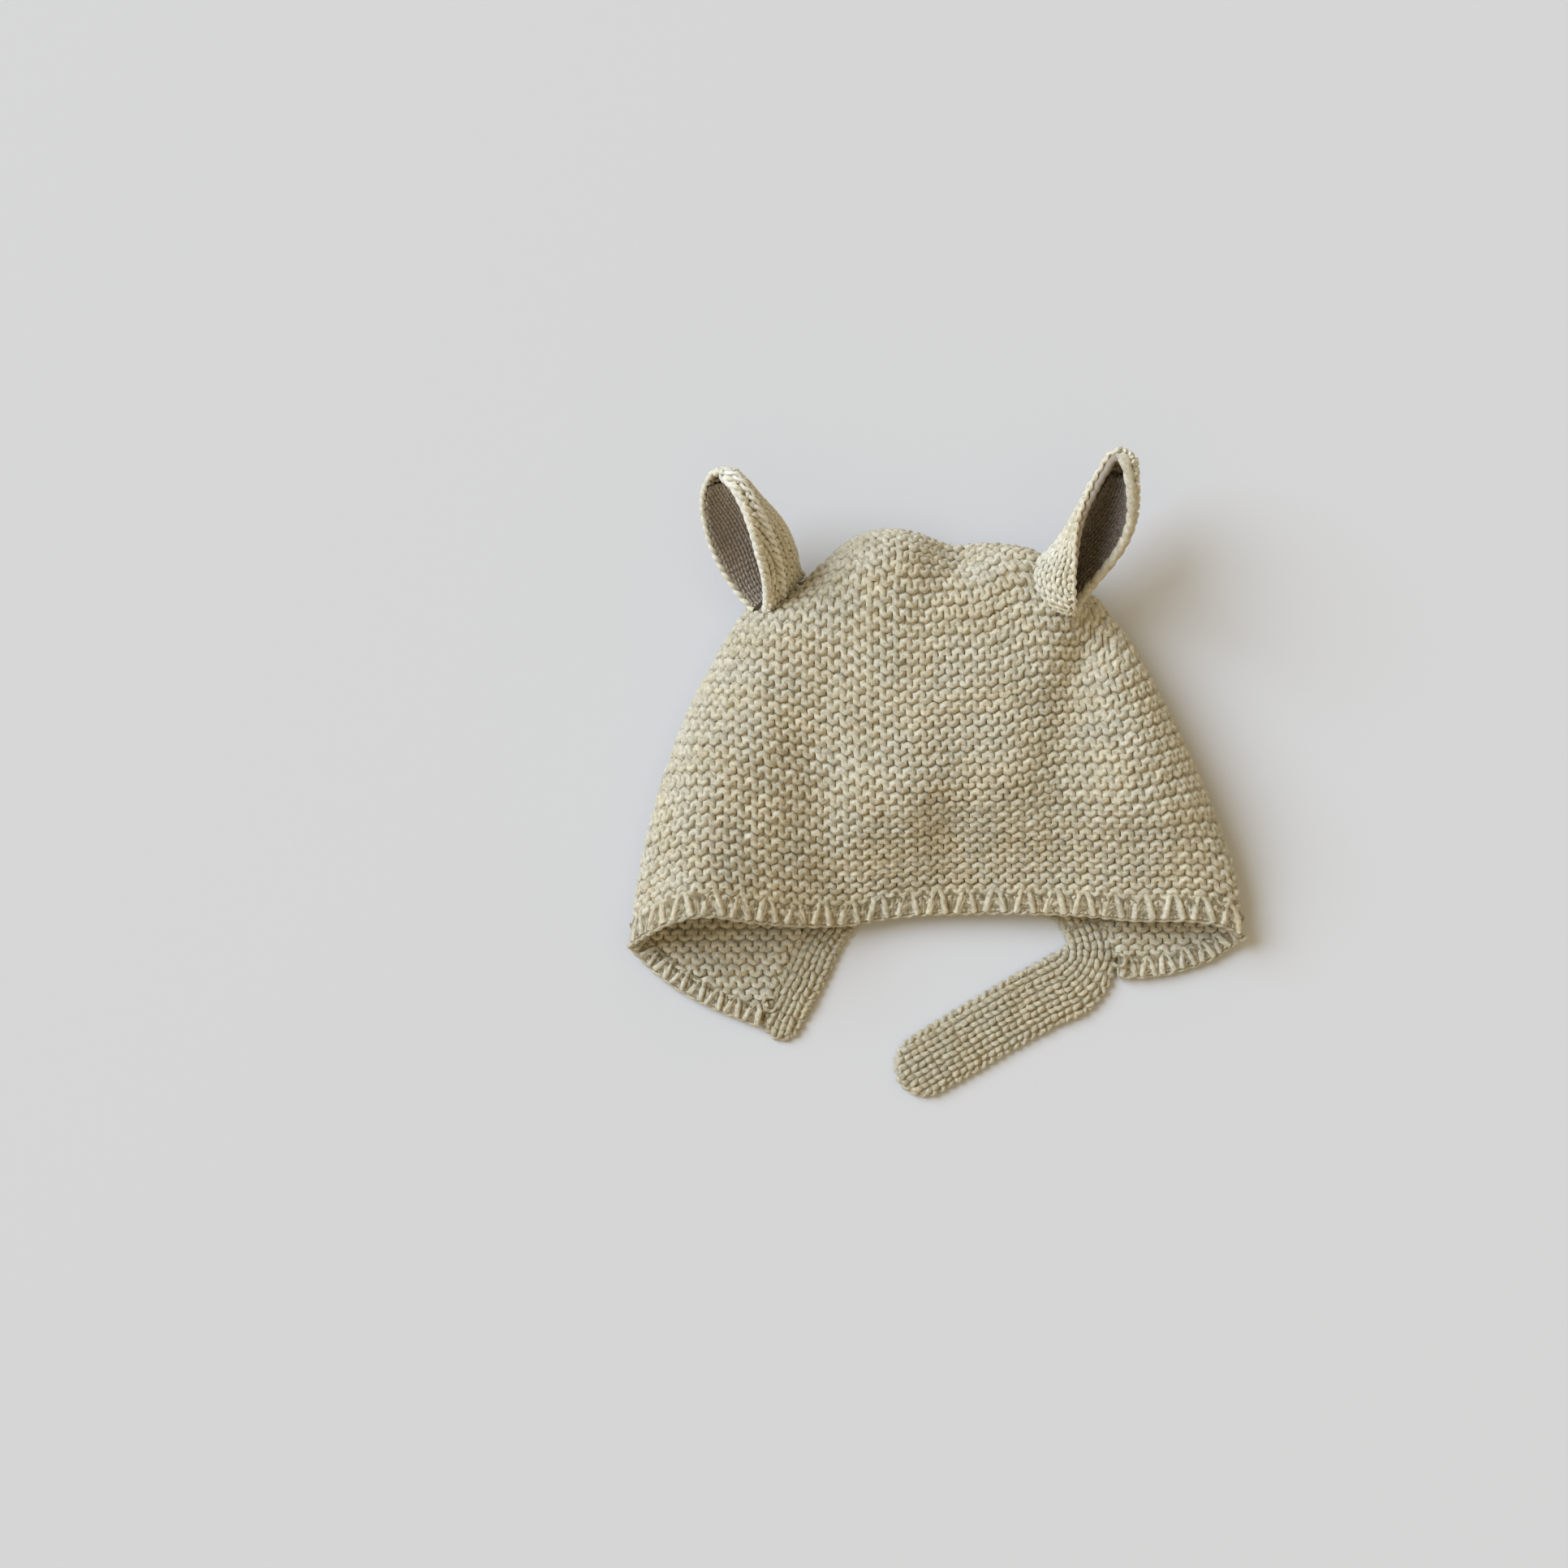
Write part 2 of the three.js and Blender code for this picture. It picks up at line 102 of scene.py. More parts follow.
def easeInOut(value):
    return clamp01(value) ** 2 * (3 - 2 * clamp01(value))


def unit(vectors):
    return vectors / np.maximum(np.linalg.norm(vectors, axis=-1, keepdims=True), 1e-9)


# ways square to a grid of points
def gridNormals(points):
    return unit(np.cross(np.gradient(points, axis=1), np.gradient(points, axis=0)))


def addUp(steps):
    return np.concatenate([np.zeros((1, *steps.shape[1:])), np.cumsum(steps, axis=0)])


# smooth value of one column of a table
def readTable(rows, key, at, column):
    keys, values = np.array(rows[key], float), np.array(rows[column], float)
    slopes = np.diff(values) / np.diff(keys)
    tangents = (np.append(slopes[:1], slopes) + np.append(slopes, slopes[-1:])) / 2
    i = np.searchsorted(keys[1:-1], at)
    span = keys[i + 1] - keys[i]
    t = clamp01((at - keys[i]) / span)
    ends = values[i] * (2 * t**3 - 3 * t**2 + 1) + values[i + 1] * (3 * t**2 - 2 * t**3)
    return ends + span * (tangents[i] * (t**3 - 2 * t**2 + t) + tangents[i + 1] * (t**3 - t**2))


# a grid of values, which has one row for each height of a line, read at other heights
def readColumns(line, grid, y):
    layers = np.atleast_3d(grid).transpose(2, 0, 1)
    values = [[np.interp(y[:, c], line, layer[:, c]) for c in range(y.shape[1])] for layer in layers]
    return np.array(values).transpose(2, 1, 0).reshape(*y.shape, *grid.shape[2:])


# rounded edge: 0 at the edge, 1 from the given distance on
def roll(distance, radius):
    power = capSettings["rollPower"]
    return (1 - (1 - clamp01(distance / radius)) ** power) ** (1 / power)


def reliefAt(x, y):
    total = np.zeros(np.broadcast(x, y).shape)
    for rowX, rowY, across, along, turn, rise in zip(*reliefRows.values()):
        c, s = math.cos(math.radians(turn)), math.sin(math.radians(turn))
        u = ((x - rowX) * c + (y - rowY) * s) / across
        v = ((y - rowY) * c - (x - rowX) * s) / along
        total = total + rise * np.exp(-u * u - v * v)
    return total


def foldAt(y):
    s = capSettings
    low, high = s["cornerFoldHeight"], s["foldHeight"]
    return low + (high - low) * easeInOut((y - s["cornerAt"]) / s["cornerRun"])


def middleAt(y):
    return (readTable(sideRows, "y", y, "left") + readTable(sideRows, "y", y, "right")) / 2


def halfAt(y):
    return (readTable(sideRows, "y", y, "right") - readTable(sideRows, "y", y, "left")) / 2


def crownAt(across):
    return readTable(crownRows, "across", across, "y")


def hemAt(across):
    return readTable(hemRows, "across", across, "y")


# points of the cloth; inset 0 is its outer face
def panelPoint(face, across, y, inset):
    s = capSettings
    half = halfAt(y) - inset
    x = middleAt(y) + half * across
    fold = foldAt(y)
    fromSide = half * (1 - np.abs(across))
    fromCrown = crownAt(across) - inset - y
    if face == "back":
        flat = roll(fromSide, s["backRoll"] - inset) * roll(fromCrown, s["backRoll"] - inset)
        return np.stack([x, y + 0 * x, inset + (fold - inset) * (1 - flat)], axis=-1)
    up = easeInOut((y - hemAt(across)) / s["hemBlend"])
    body = readTable(bodyRows, "y", y, "rise") * (1 - s["sideFall"] * across**2) + reliefAt(x, y)
    top = readTable(hemRows, "across", across, "top") * (1 - up) + body * up
    side = roll(fromSide, s["hemSideRoll"] + (s["sideRoll"] - s["hemSideRoll"]) * up - inset)
    z = fold + (top - inset - fold) * side * roll(fromCrown, s["crownRoll"] - inset)
    return np.stack([x, y + 0 * x, z], axis=-1)


clothSpan = 0.5  # metres of cloth that the whole knit map covers each way
knitSettings = {
    "fan": 0.0011,  # how fast the stitch columns close in towards the crown
    "fanFrom": -20,
    "slack": 0.17,  # how much taller the courses are at the crown
    "slackFrom": 20,
    "slackTo": 55,
    "zeroCourse": -45,
    "smileLength": 30,
    "smileRun": 60,
    "leftSmile": 0.0032,
    "rightSmile": 0.0035,
    "rightSmileRise": 0.0085,
}


# how much higher a course runs at this place than along the middle
def courseRise(x, y, across):
    s = knitSettings
    length = s["smileLength"]
    bow = length**2 * (np.sqrt(1 + (x / length) ** 2) - 1)
    right = s["rightSmile"] + s["rightSmileRise"] * easeInOut(y / s["smileRun"]) ** 2
    smile = bow * np.where(x < 0, s["leftSmile"], right)
    low = 1 - easeInOut((y - s["zeroCourse"]) / s["smileRun"])
    return (hemAt(across) - hemAt(0)) * low + smile * (1 - low)


# the whole front or back on a plain grid, with its place on the knit map
def capFace(face):
    grid, s = capSettings["grid"], knitSettings
    t = np.linspace(-1, 1, grid["columns"] + 1)
    line = np.linspace(grid["from"], grid["to"], grid["rows"] + 1)
    across, y = np.meshgrid(np.sin(math.pi / 2 * t), line)
    p = panelPoint(face, across, y, capSettings["wall"] / 2)
    normal = gridNormals(p) * (-1 if face == "back" else 1)
    u = addUp(np.hypot(np.diff(p[..., 0], axis=1), np.diff(p[..., 2], axis=1)).T).T
    density = 1 - s["slack"] * easeInOut((y - s["slackFrom"]) / (s["slackTo"] - s["slackFrom"]))
    upwards = np.hypot(np.diff(p[..., 1], axis=0), np.diff(p[..., 2], axis=0))
    v = addUp(upwards * density[1:])
    v = v - v[np.argmin(np.abs(line - s["zeroCourse"]))]
    return {"face": face, "across": across, "y": y, "points": p, "normal": normal, "u": u, "v": v}


# front, left back and right back, whose knit maps join at the side folds and part along the back
def capSheets():
    front, back = capFace("front"), capFace("back")
    middle = front["u"].shape[1] // 2
    front["u"] -= front["u"][:, middle : middle + 1].copy()
    rise = courseRise(front["points"][..., 0], front["y"], front["across"])
    front["v"] -= rise
    leftBack = {**back, "u": front["u"][:, :1] - back["u"], "v": back["v"] - rise[:, :1]}
    u = front["u"][:, -1:] + (back["u"][:, -1:] - back["u"])
    rightBack = {**back, "u": u, "v": back["v"] - rise[:, -1:]}
    for sheet, part in ((leftBack, slice(0, middle + 1)), (rightBack, slice(middle, None))):
        for key in ("across", "y", "points", "normal", "u", "v"):
            sheet[key] = sheet[key][:, part]
    for sheet in (front, leftBack, rightBack):
        sheet["u"] *= 1 + knitSettings["fan"] * (sheet["y"] - knitSettings["fanFrom"])
    return front, leftBack, rightBack


def insideOutline(x, y, outline):
    inside = np.zeros(np.broadcast(x, y).shape, bool)
    for (x0, y0), (x1, y1) in zip(outline, outline[1:] + outline[:1]):
        if y0 == y1:
            continue
        crosses = (y0 > y) != (y1 > y)
        inside ^= crosses & (x < (x1 - x0) * (y - y0) / (y1 - y0) + x0)
    return inside


# the part of a sheet between its lowest and highest line, which its rows then follow exactly
def trimSheet(sheet, lowest, highest, step=1):
    y = np.clip(sheet["y"][::step, ::step], lowest[::step], highest[::step])
    points = panelPoint(sheet["face"], sheet["across"][::step, ::step], y, capSettings["wall"] / 2)
    line = sheet["y"][:, 0]
    u, v, normal = (readColumns(line, sheet[key][:, ::step], y) for key in ("u", "v", "normal"))
    return {"points": points, "normal": unit(normal), "u": u, "v": v}


def addObject(name, data):
    obj = bpy.data.objects.new(name, data)
    bpy.context.collection.objects.link(obj)
    return obj


# mesh of points, given in millimetres, that know the way out of the cloth
def clothMesh(name, points, ways, edges, faces):
    mesh = bpy.data.meshes.new(name)
    places = (points - np.array([*capMiddle, 0])) * mm
    mesh.from_pydata(places.tolist(), edges, faces, shade_flat=False)
    outwards = mesh.attributes.new("outwards", "FLOAT_VECTOR", "POINT")
    outwards.data.foreach_set("vector", ways.astype(np.float32).ravel())
    return mesh


# object of one or more grids, whose corners also know their place on the knit map
def surfaceObject(name, grids):
    faces, first = [], 0
    for grid in grids:
        rows, columns = grid["u"].shape
        index = first + np.arange(rows * columns).reshape(rows, columns)
        low, high = slice(None, -1), slice(1, None)
        corners = (low, low), (low, high), (high, high), (high, low)
        quads = np.stack([index[corner] for corner in corners], axis=-1)
        if "hidden" in grid:
            quads = quads[~np.any([grid["hidden"][corner] for corner in corners], axis=0)]
        faces.append(quads.reshape(-1, 4))
        first += rows * columns
    keys = ("points", 3), ("normal", 3), ("u", 1), ("v", 1)
    joined = [np.concatenate([grid[key].reshape(-1, size) for grid in grids]) for key, size in keys]
    points, ways = joined[:2]
    mapped = np.hstack(joined[2:])
    quads = np.concatenate(faces)
    a, b, c, d = (points[quads[:, i]] for i in range(4))
    quads = quads[np.linalg.norm(np.cross(c - a, d - b), axis=1) > 1e-4]
    mesh = clothMesh(name, points, ways, [], quads.tolist())
    vertexAt = np.zeros(len(mesh.loops), np.int32)
    mesh.loops.foreach_get("vertex_index", vertexAt)
    places = (mapped * mm / clothSpan + 0.5)[vertexAt].astype(np.float32)
    mesh.uv_layers.new(name="knit").data.foreach_set("uv", places.ravel())
    return addObject(name, mesh)


# a number or vector that a node tree works out, so that formulas read as in Python
class Field:
    def __init__(self, tree, socket):
        self.tree, self.socket = tree, socket

    def maths(self, operation, *others, kind="ShaderNodeMath"):
        node = self.tree.nodes.new(kind)
        node.operation = operation
        for slot, value in zip(node.inputs, (self, *others)):
            plug(self.tree, value, slot)
        return Field(self.tree, node.outputs[0])

    def vector(self, operation, *others):
        return self.maths(operation, *others, kind="ShaderNodeVectorMath")

    def scaled(self, amount):
        scale = {"operation": "SCALE"}
        return addNode(self.tree, "ShaderNodeVectorMath", scale, Vector=self, Scale=amount)["Vector"]

    def split(self):
        return addNode(self.tree, "ShaderNodeSeparateXYZ", Vector=self)

    def __add__(self, other):
        return self.maths("ADD", other)

    def __sub__(self, other):
        return self.maths("SUBTRACT", other)

    def __mul__(self, other):
        return self.maths("MULTIPLY", other)

    def __truediv__(self, other):
        return self.maths("DIVIDE", other)


def plug(tree, value, socket):
    if isinstance(value, Field):
        tree.links.new(value.socket, socket)
    else:
        socket.default_value = value


# a node with its settings and inputs; returns its outputs as fields by name
def addNode(tree, kind, settings=None, **inputs):
    node = tree.nodes.new(kind)
    for key, value in (settings or {}).items():
        setattr(node, key, value)
    for key, value in inputs.items():
        plug(tree, value, next(s for s in node.inputs if s.enabled and s.name == key))
    return {s.name: Field(tree, s) for s in node.outputs if s.enabled}


def newTree(name, numbers):
    tree = bpy.data.node_groups.new(name, "GeometryNodeTree")
    tree.interface.new_socket(name="Cloth", in_out="INPUT", socket_type="NodeSocketGeometry")
    for label, value in numbers.items():
        kind = "NodeSocketInt" if isinstance(value, int) else "NodeSocketFloat"
        tree.interface.new_socket(name=label, in_out="INPUT", socket_type=kind).default_value = value
    tree.interface.new_socket(name="Material", in_out="INPUT", socket_type="NodeSocketMaterial")
    tree.interface.new_socket(name="Yarn", in_out="OUTPUT", socket_type="NodeSocketGeometry")
    source = tree.nodes.new("NodeGroupInput")
    return tree, {s.name: Field(tree, s) for s in source.outputs if s.name}


# the first output of a geometry node
def shape(tree, kind, settings=None, **inputs):
    return next(iter(addNode(tree, "GeometryNode" + kind, settings, **inputs).values()))


def joinVector(tree, x, y, z=0.0):
    return addNode(tree, "ShaderNodeCombineXYZ", X=x, Y=y, Z=z)["Vector"]


def noiseAt(tree, place, scale, output="Fac", detail=1.0):
    return addNode(tree, "ShaderNodeTexNoise", Vector=place, Scale=scale, Detail=detail)[output]


def store(tree, geometry, name, value, kind="FLOAT", domain="POINT"):
    stored = {"data_type": kind, "domain": domain}
    return shape(tree, "StoreNamedAttribute", stored, Geometry=geometry, Name=name, Value=value)


def read(tree, name, kind="FLOAT"):
    return shape(tree, "InputNamedAttribute", {"data_type": kind}, Name=name)


# moves the yarn there, but nowhere under the floor height
def moveYarn(tree, given, yarn, place):
    place = place.split()
    place = joinVector(tree, place["X"], place["Y"], place["Z"].maths("MAXIMUM", given["Floor Height"]))
    return shape(tree, "SetPosition", Geometry=yarn, Position=place)


# ends a tree with tubes round the given curves
def addTubes(tree, given, curve, radius, dropped):
    circle = shape(tree, "CurvePrimitiveCircle", Resolution=given["Sides"], Radius=1.0)
    circle = store(tree, circle, "round", shape(tree, "InputPosition"), "FLOAT_VECTOR")
    ends = {"Curve": curve, "Profile Curve": circle, "Scale": radius, "Fill Caps": True}
    tube = shape(tree, "CurveToMesh", **ends)
    for name in dropped:
        tube = shape(tree, "RemoveAttribute", Geometry=tube, Name=name)
    tube = shape(tree, "SetShadeSmooth", Geometry=tube)
    tube = shape(tree, "RealizeInstances", Geometry=tube)
    tube = shape(tree, "SetMaterial", Geometry=tube, Material=given["Material"])
    plug(tree, tube, tree.nodes.new("NodeGroupOutput").inputs[0])


# stitches, in metres; a smooth face is stocking stitch, taper thins the yarn where it dips, and least lift
# also limits how dark the wools paint shade there
knitInputs = {
    "Stitch Width": 0.0042, "Course Height": 0.00191, "Loop Height": 0.002, "Loop Bulge": 0.0007,
    "Loop Depth": 0.00085, "Smooth Face": 0.0, "Least Lift": 0.0, "Yarn Radius": 0.00095, "Taper": 0.0,
    "Lumps": 0.5, "Floor Height": 0.001, "Unevenness": 0.0005, "Points Per Stitch": 10, "Sides": 5,
    "First Stitch": -55, "Stitches": 110, "First Course": -24, "Courses": 96, "Seed": 1,
}
strayScale, lumpScale = 0.83, 2.7  # how quickly loops stray and yarn thickens, from stitch to stitch
loopLength = 2.2  # yarn in one loop, in stitch widths


def knittingTree():
    tree, given = newTree("knitting", knitInputs)
    # one straight course of points for each row of the knitting
    count = given["Stitches"] * given["Points Per Stitch"] + 1
    line = shape(tree, "MeshLine", Count=count, Offset=(1, 0, 0))
    courses = shape(tree, "MeshLine", Count=given["Courses"], Offset=(0, 1, 0))
    placed = shape(tree, "InstanceOnPoints", Points=courses, Instance=line)
    yarn = shape(tree, "RealizeInstances", Geometry=placed)
    where = shape(tree, "InputPosition")
    split = where.split()
    # uneven hand knitting
    stitch = split["X"] / given["Points Per Stitch"]
    course = split["Y"] + given["First Course"]
    spot = joinVector(tree, stitch + given["First Stitch"], course, given["Seed"])
    uneven = noiseAt(tree, spot, strayScale, "Color").split()
    stray = {axis: (uneven[axis] - 0.5) * given["Unevenness"] for axis in "XYZ"}
    # the loop
    turn = stitch * (2 * math.pi)
    wave = turn.maths("COSINE")
    side = course.maths("FLOORED_MODULO", 2.0) * -2.0 + 1.0
    garter = wave * side
    smooth = (turn * 2).maths("COSINE") * -1.0
    lift = garter.maths("ABSOLUTE")
    lift = lift + (smooth * 0.5 + 0.5 - lift) * given["Smooth Face"]
    bulge = (turn * 2).maths("SINE") * given["Loop Bulge"]
    u = (stitch + given["First Stitch"]) * given["Stitch Width"] + bulge + stray["X"]
    v = course * given["Course Height"] + wave * given["Loop Height"] + stray["Y"]
    depth = (garter + (smooth - garter) * given["Smooth Face"]) * given["Loop Depth"] + stray["Z"]
    # lay the loops on the cloth
    mapPlace = joinVector(tree, u / clothSpan + 0.5, v / clothSpan + 0.5)
    vector = {"data_type": "FLOAT_VECTOR"}
    on = {"Mesh": given["Cloth"], "UV Map": read(tree, "knit", "FLOAT_VECTOR"), "Sample UV": mapPlace}
    ground = addNode(tree, "GeometryNodeSampleUVSurface", vector, Value=where, **on)
    outwards = read(tree, "outwards", "FLOAT_VECTOR")
    way = shape(tree, "SampleUVSurface", vector, Value=outwards, **on)
    yarn = store(tree, yarn, "ground", ground["Value"], "FLOAT_VECTOR")
    yarn = store(tree, yarn, "way", way, "FLOAT_VECTOR")
    yarn = store(tree, yarn, "depth", depth)
    yarn = store(tree, yarn, "strand", stitch * given["Stitch Width"] * loopLength)
    yarn = store(tree, yarn, "shade", uneven["X"])
    # lift: how high the yarn stands out of the cloth; it thins the yarn, and the wools paint shade where it
    # is low
    yarn = store(tree, yarn, "lift", lift.maths("MAXIMUM", given["Least Lift"]))
    yarn = store(tree, yarn, "lump", noiseAt(tree, spot, lumpScale))
    yarn = store(tree, yarn, "missing", ground["Is Valid"].maths("COMPARE", 0.0, 0.1), "BOOLEAN")
    missing = read(tree, "missing", "BOOLEAN")
    yarn = shape(tree, "DeleteGeometry", Geometry=yarn, Selection=missing)
    raised = read(tree, "way", "FLOAT_VECTOR").vector("NORMALIZE").scaled(read(tree, "depth"))
    yarn = moveYarn(tree, given, yarn, read(tree, "ground", "FLOAT_VECTOR").vector("ADD", raised))
    curve = shape(tree, "MeshToCurve", Mesh=yarn)
    radius = given["Yarn Radius"] * ((read(tree, "lump") - 0.5) * given["Lumps"] + 1.0)
    radius = radius * ((read(tree, "lift") - 1.0) * given["Taper"] + 1.0)
    addTubes(tree, given, curve, radius, ("ground", "way", "missing", "lump"))
    return tree


# yarn laid along an edge, in metres
edgeInputs = {
    "Turn Length": 0.003, "Turn Radius": 0.0006, "Turn Height": 0.0006, "Yarn Radius": 0.0009,
    "Floor Height": 0.001, "Unevenness": 0.0003, "Point Spacing": 0.0005, "Strands": 1, "Sides": 6,
}
edgeStrayScale = 400.0


# winds one or more strands of yarn round the given line
def edgingTree():
    tree, given = newTree("edging", edgeInputs)
    line = shape(tree, "MeshToCurve", Mesh=given["Cloth"])
    yarn = shape(tree, "ResampleCurve", {"mode": "LENGTH"}, Curve=line, Length=given["Point Spacing"])
    up = read(tree, "outwards", "FLOAT_VECTOR").vector("NORMALIZE")
    yarn = store(tree, yarn, "strand", addNode(tree, "GeometryNodeSplineParameter")["Length"])
    # edge yarn gets full lift, so no painted hollow shade
    yarn = store(tree, yarn, "lift", 1.0)
    yarn = store(tree, yarn, "shade", 0.5)
    yarn = store(tree, yarn, "out", up, "FLOAT_VECTOR")
    aside = shape(tree, "InputTangent").vector("CROSS_PRODUCT", up)
    yarn = store(tree, yarn, "aside", aside, "FLOAT_VECTOR")
    strands = shape(tree, "MeshLine", Count=given["Strands"], Offset=(0, 0, 0))
    placed = shape(tree, "InstanceOnPoints", Points=strands, Instance=yarn)
    placed = store(tree, placed, "number", shape(tree, "InputIndex"), domain="INSTANCE")
    yarn = shape(tree, "RealizeInstances", Geometry=placed)
    share = read(tree, "number") / given["Strands"]
    angle = (read(tree, "strand") / given["Turn Length"] + share) * (2 * math.pi)
    place = shape(tree, "InputPosition")
    uneven = noiseAt(tree, place, edgeStrayScale, "Color").split()
    ways = ("out", "SINE", "X", "Turn Height"), ("aside", "COSINE", "Y", "Turn Radius")
    for name, wave, axis, size in ways:
        amount = angle.maths(wave) * given[size] + (uneven[axis] - 0.5) * given["Unevenness"]
        place = place.vector("ADD", read(tree, name, "FLOAT_VECTOR").scaled(amount))
    yarn = moveYarn(tree, given, yarn, place)
    addTubes(tree, given, yarn, given["Yarn Radius"], ("out", "aside", "number"))
    return tree


# runs a tree on an object and returns the result as a plain mesh object
def grow(cloth, tree, settings, name):
    modifier = cloth.modifiers.new(tree.name, "NODES")
    modifier.node_group = tree
    for item in tree.interface.items_tree:
        if item.in_out == "INPUT" and item.name in settings:
            modifier[item.identifier] = settings[item.name]
    depsgraph = bpy.context.evaluated_depsgraph_get()
    grown = cloth.evaluated_get(depsgraph)
    mesh = bpy.data.meshes.new_from_object(grown, preserve_all_data_layers=True, depsgraph=depsgraph)
    cloth.modifiers.clear()
    return addObject(name, mesh)


# stitches of wool on a surface
def knit(surface, wool, name, settings, own):
    return grow(surface, knitting, {**knitInputs, **settings, **own, "Material": wool}, name)


# yarn along a line of points; ways lead out of the cloth
def layYarn(name, points, ways, wool, settings):
    edges = [(i, i + 1) for i in range(len(points) - 1)]
    line = addObject(name + "_line", clothMesh(name + "_line", points, ways, edges, []))
    yarn = grow(line, edging, {**edgeInputs, **settings, "Material": wool}, name)
    bpy.data.objects.remove(line)
    return yarn


# thin cloth between the loops, so that no light comes through; it has no lift, so its wool paints it with
# the full hollow shade, as painted shade between the loops
def groundCloth(name, grids, thickness, material):
    base = surfaceObject(name, grids)
    base.data.materials.append(material)
    solid = base.modifiers.new("thickness", "SOLIDIFY")
    solid.thickness = thickness * mm
    solid.offset = 0
    depsgraph = bpy.context.evaluated_depsgraph_get()
    mesh = bpy.data.meshes.new_from_object(base.evaluated_get(depsgraph), depsgraph=depsgraph)
    base.modifiers.clear()
    base.data = mesh
    return base


# joins the parts of a piece, which stands for the given nodes
def finishPiece(name, parts, slotName, *nodes):
    bpy.ops.object.select_all(action="DESELECT")
    for part in parts:
        part.select_set(True)
    piece = bpy.context.view_layer.objects.active = parts[0]
    bpy.ops.object.join()
    piece.name = piece.data.name = name
    triangles = sum(len(p.vertices) - 2 for p in piece.data.polygons)
    print("%-20s %7d triangles" % (name, triangles))
    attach(piece, "root")
    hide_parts(*nodes)


# woollen yarn; the hollow shade is painted shade: the colour the yarn is darkened towards down between the
# loops, where its lift is low
creamWool = {
    "light": (0.735, 0.682, 0.53), "dark": (0.375, 0.335, 0.236), "warmTint": (1.01, 0.97, 0.9),
    "hollow": (0.74, 0.69, 0.58), "hollowFrom": 0.0, "hollowTo": 0.8,
    "patch": 0.5, "patchScale": 60.0, "fleck": 1.7, "fleckScale": 800.0,
    "hueScale": 85.0, "hueContrast": 4.0, "loopShade": 0.7,
    "plies": 3, "twist": 0.0042, "fibre": 1.2, "bump": 0.00018, "bumpStrength": 0.6,
}
woolSheen = {"Roughness": 0.95, "Specular IOR Level": 0.2, "Sheen Weight": 0.2, "Sheen Roughness": 0.6}
brownYarn = {"hollow": (0.8, 0.77, 0.74), "twist": 0.002, "bump": 0.0001}
woolChanges = {
    "cream": {},
    "strap": {
        "light": (0.6, 0.545, 0.4), "dark": (0.35, 0.31, 0.215), "hollow": (0.88, 0.84, 0.76), "fleck": 2.2,
    },
    # darker cream for the rib strands that lie deep and for the edge yarn tucked behind the ribs, as
    # painted shade
    "hem": {
        "light": (0.6, 0.545, 0.41), "dark": (0.36, 0.32, 0.225), "hollow": (0.5, 0.45, 0.35), "fleck": 2,
    },
    # ear shells: lighter than the cap's wool, as painted light for the light that shines through and
    # bounces into the thin ears
    "ear": {"light": (0.83, 0.79, 0.65), "dark": (0.52, 0.48, 0.36), "hollow": (0.48, 0.43, 0.33)},
    "pale": {
        "light": (0.92, 0.9, 0.82), "dark": (0.64, 0.62, 0.53), "hollow": (0.6, 0.56, 0.46), "patch": 0.3,
    },
    # a darker wool as painted shade, for the ground cloth between the hem's ribs
    "painted_shade": {"light": (0.56, 0.505, 0.375), "dark": (0.34, 0.3, 0.21), "patch": 0.4},
    # the ears' brown facing yarn, painted lighter for the left ear as painted light and darker for the
    # right ear as painted shade
    "brown": {**brownYarn, "light": (0.43, 0.37, 0.305), "dark": (0.31, 0.265, 0.215)},
    "shaded_brown": {**brownYarn, "light": (0.2, 0.16, 0.115), "dark": (0.08, 0.06, 0.04)},
}


# wool with patchy colour, painted shade in the hollows and the ridges of its plies
def woolMaterial(name, s):
    material = bpy.data.materials.new(name)
    material.use_nodes = True
    tree = material.node_tree
    tree.nodes.clear()

    def attribute(key, output="Fac"):
        return addNode(tree, "ShaderNodeAttribute", {"attribute_name": key})[output]

    def between01(value):
        return value.maths("MAXIMUM", 0.0).maths("MINIMUM", 1.0)

    coordinates = addNode(tree, "ShaderNodeTexCoord")["Object"]
    patches = noiseAt(tree, coordinates, s["patchScale"], detail=3.0)
    flecks = noiseAt(tree, coordinates, s["fleckScale"], detail=3.0)
    hues = noiseAt(tree, coordinates, s["hueScale"], detail=2.0)
    light = (patches - 0.5) * s["patch"] + (flecks - 0.5) * s["fleck"] + 0.5
    light = between01(light + (attribute("shade") - 0.5) * s["loopShade"])
    warm = between01((hues - 0.5) * s["hueContrast"] + 0.5)
    # painted shade: the lower the yarn's lift, the nearer its colour comes to the hollow shade
    reach = {"Value": attribute("lift"), "From Min": s["hollowFrom"], "From Max": s["hollowTo"]}
    raised = addNode(tree, "ShaderNodeMapRange", {"interpolation_type": "SMOOTHSTEP"}, **reach)["Result"]
    channels = []
    for low, high, tint, hollow in zip(s["dark"], s["light"], s["warmTint"], s["hollow"]):
        tinted = (light * (high - low) + low) * (warm * (tint - 1.0) + 1.0)
        channels.append(tinted * (raised * (1.0 - hollow) + hollow))
    way = attribute("round", "Vector").split()
    angle = way["Y"].maths("ARCTAN2", way["X"])
    plies = (angle * s["plies"] + attribute("strand") * (2 * math.pi / s["twist"])).maths("COSINE")
    height = plies * 0.5 + flecks * s["fibre"]
    ridges = addNode(tree, "ShaderNodeBump", Height=height, Distance=s["bump"], Strength=s["bumpStrength"])
    surface = {**woolSheen, "Base Color": joinVector(tree, *channels), "Normal": ridges["Normal"]}
    shader = addNode(tree, "ShaderNodeBsdfPrincipled", **surface)["BSDF"]
    plug(tree, shader, tree.nodes.new("ShaderNodeOutputMaterial").inputs["Surface"])
    return material


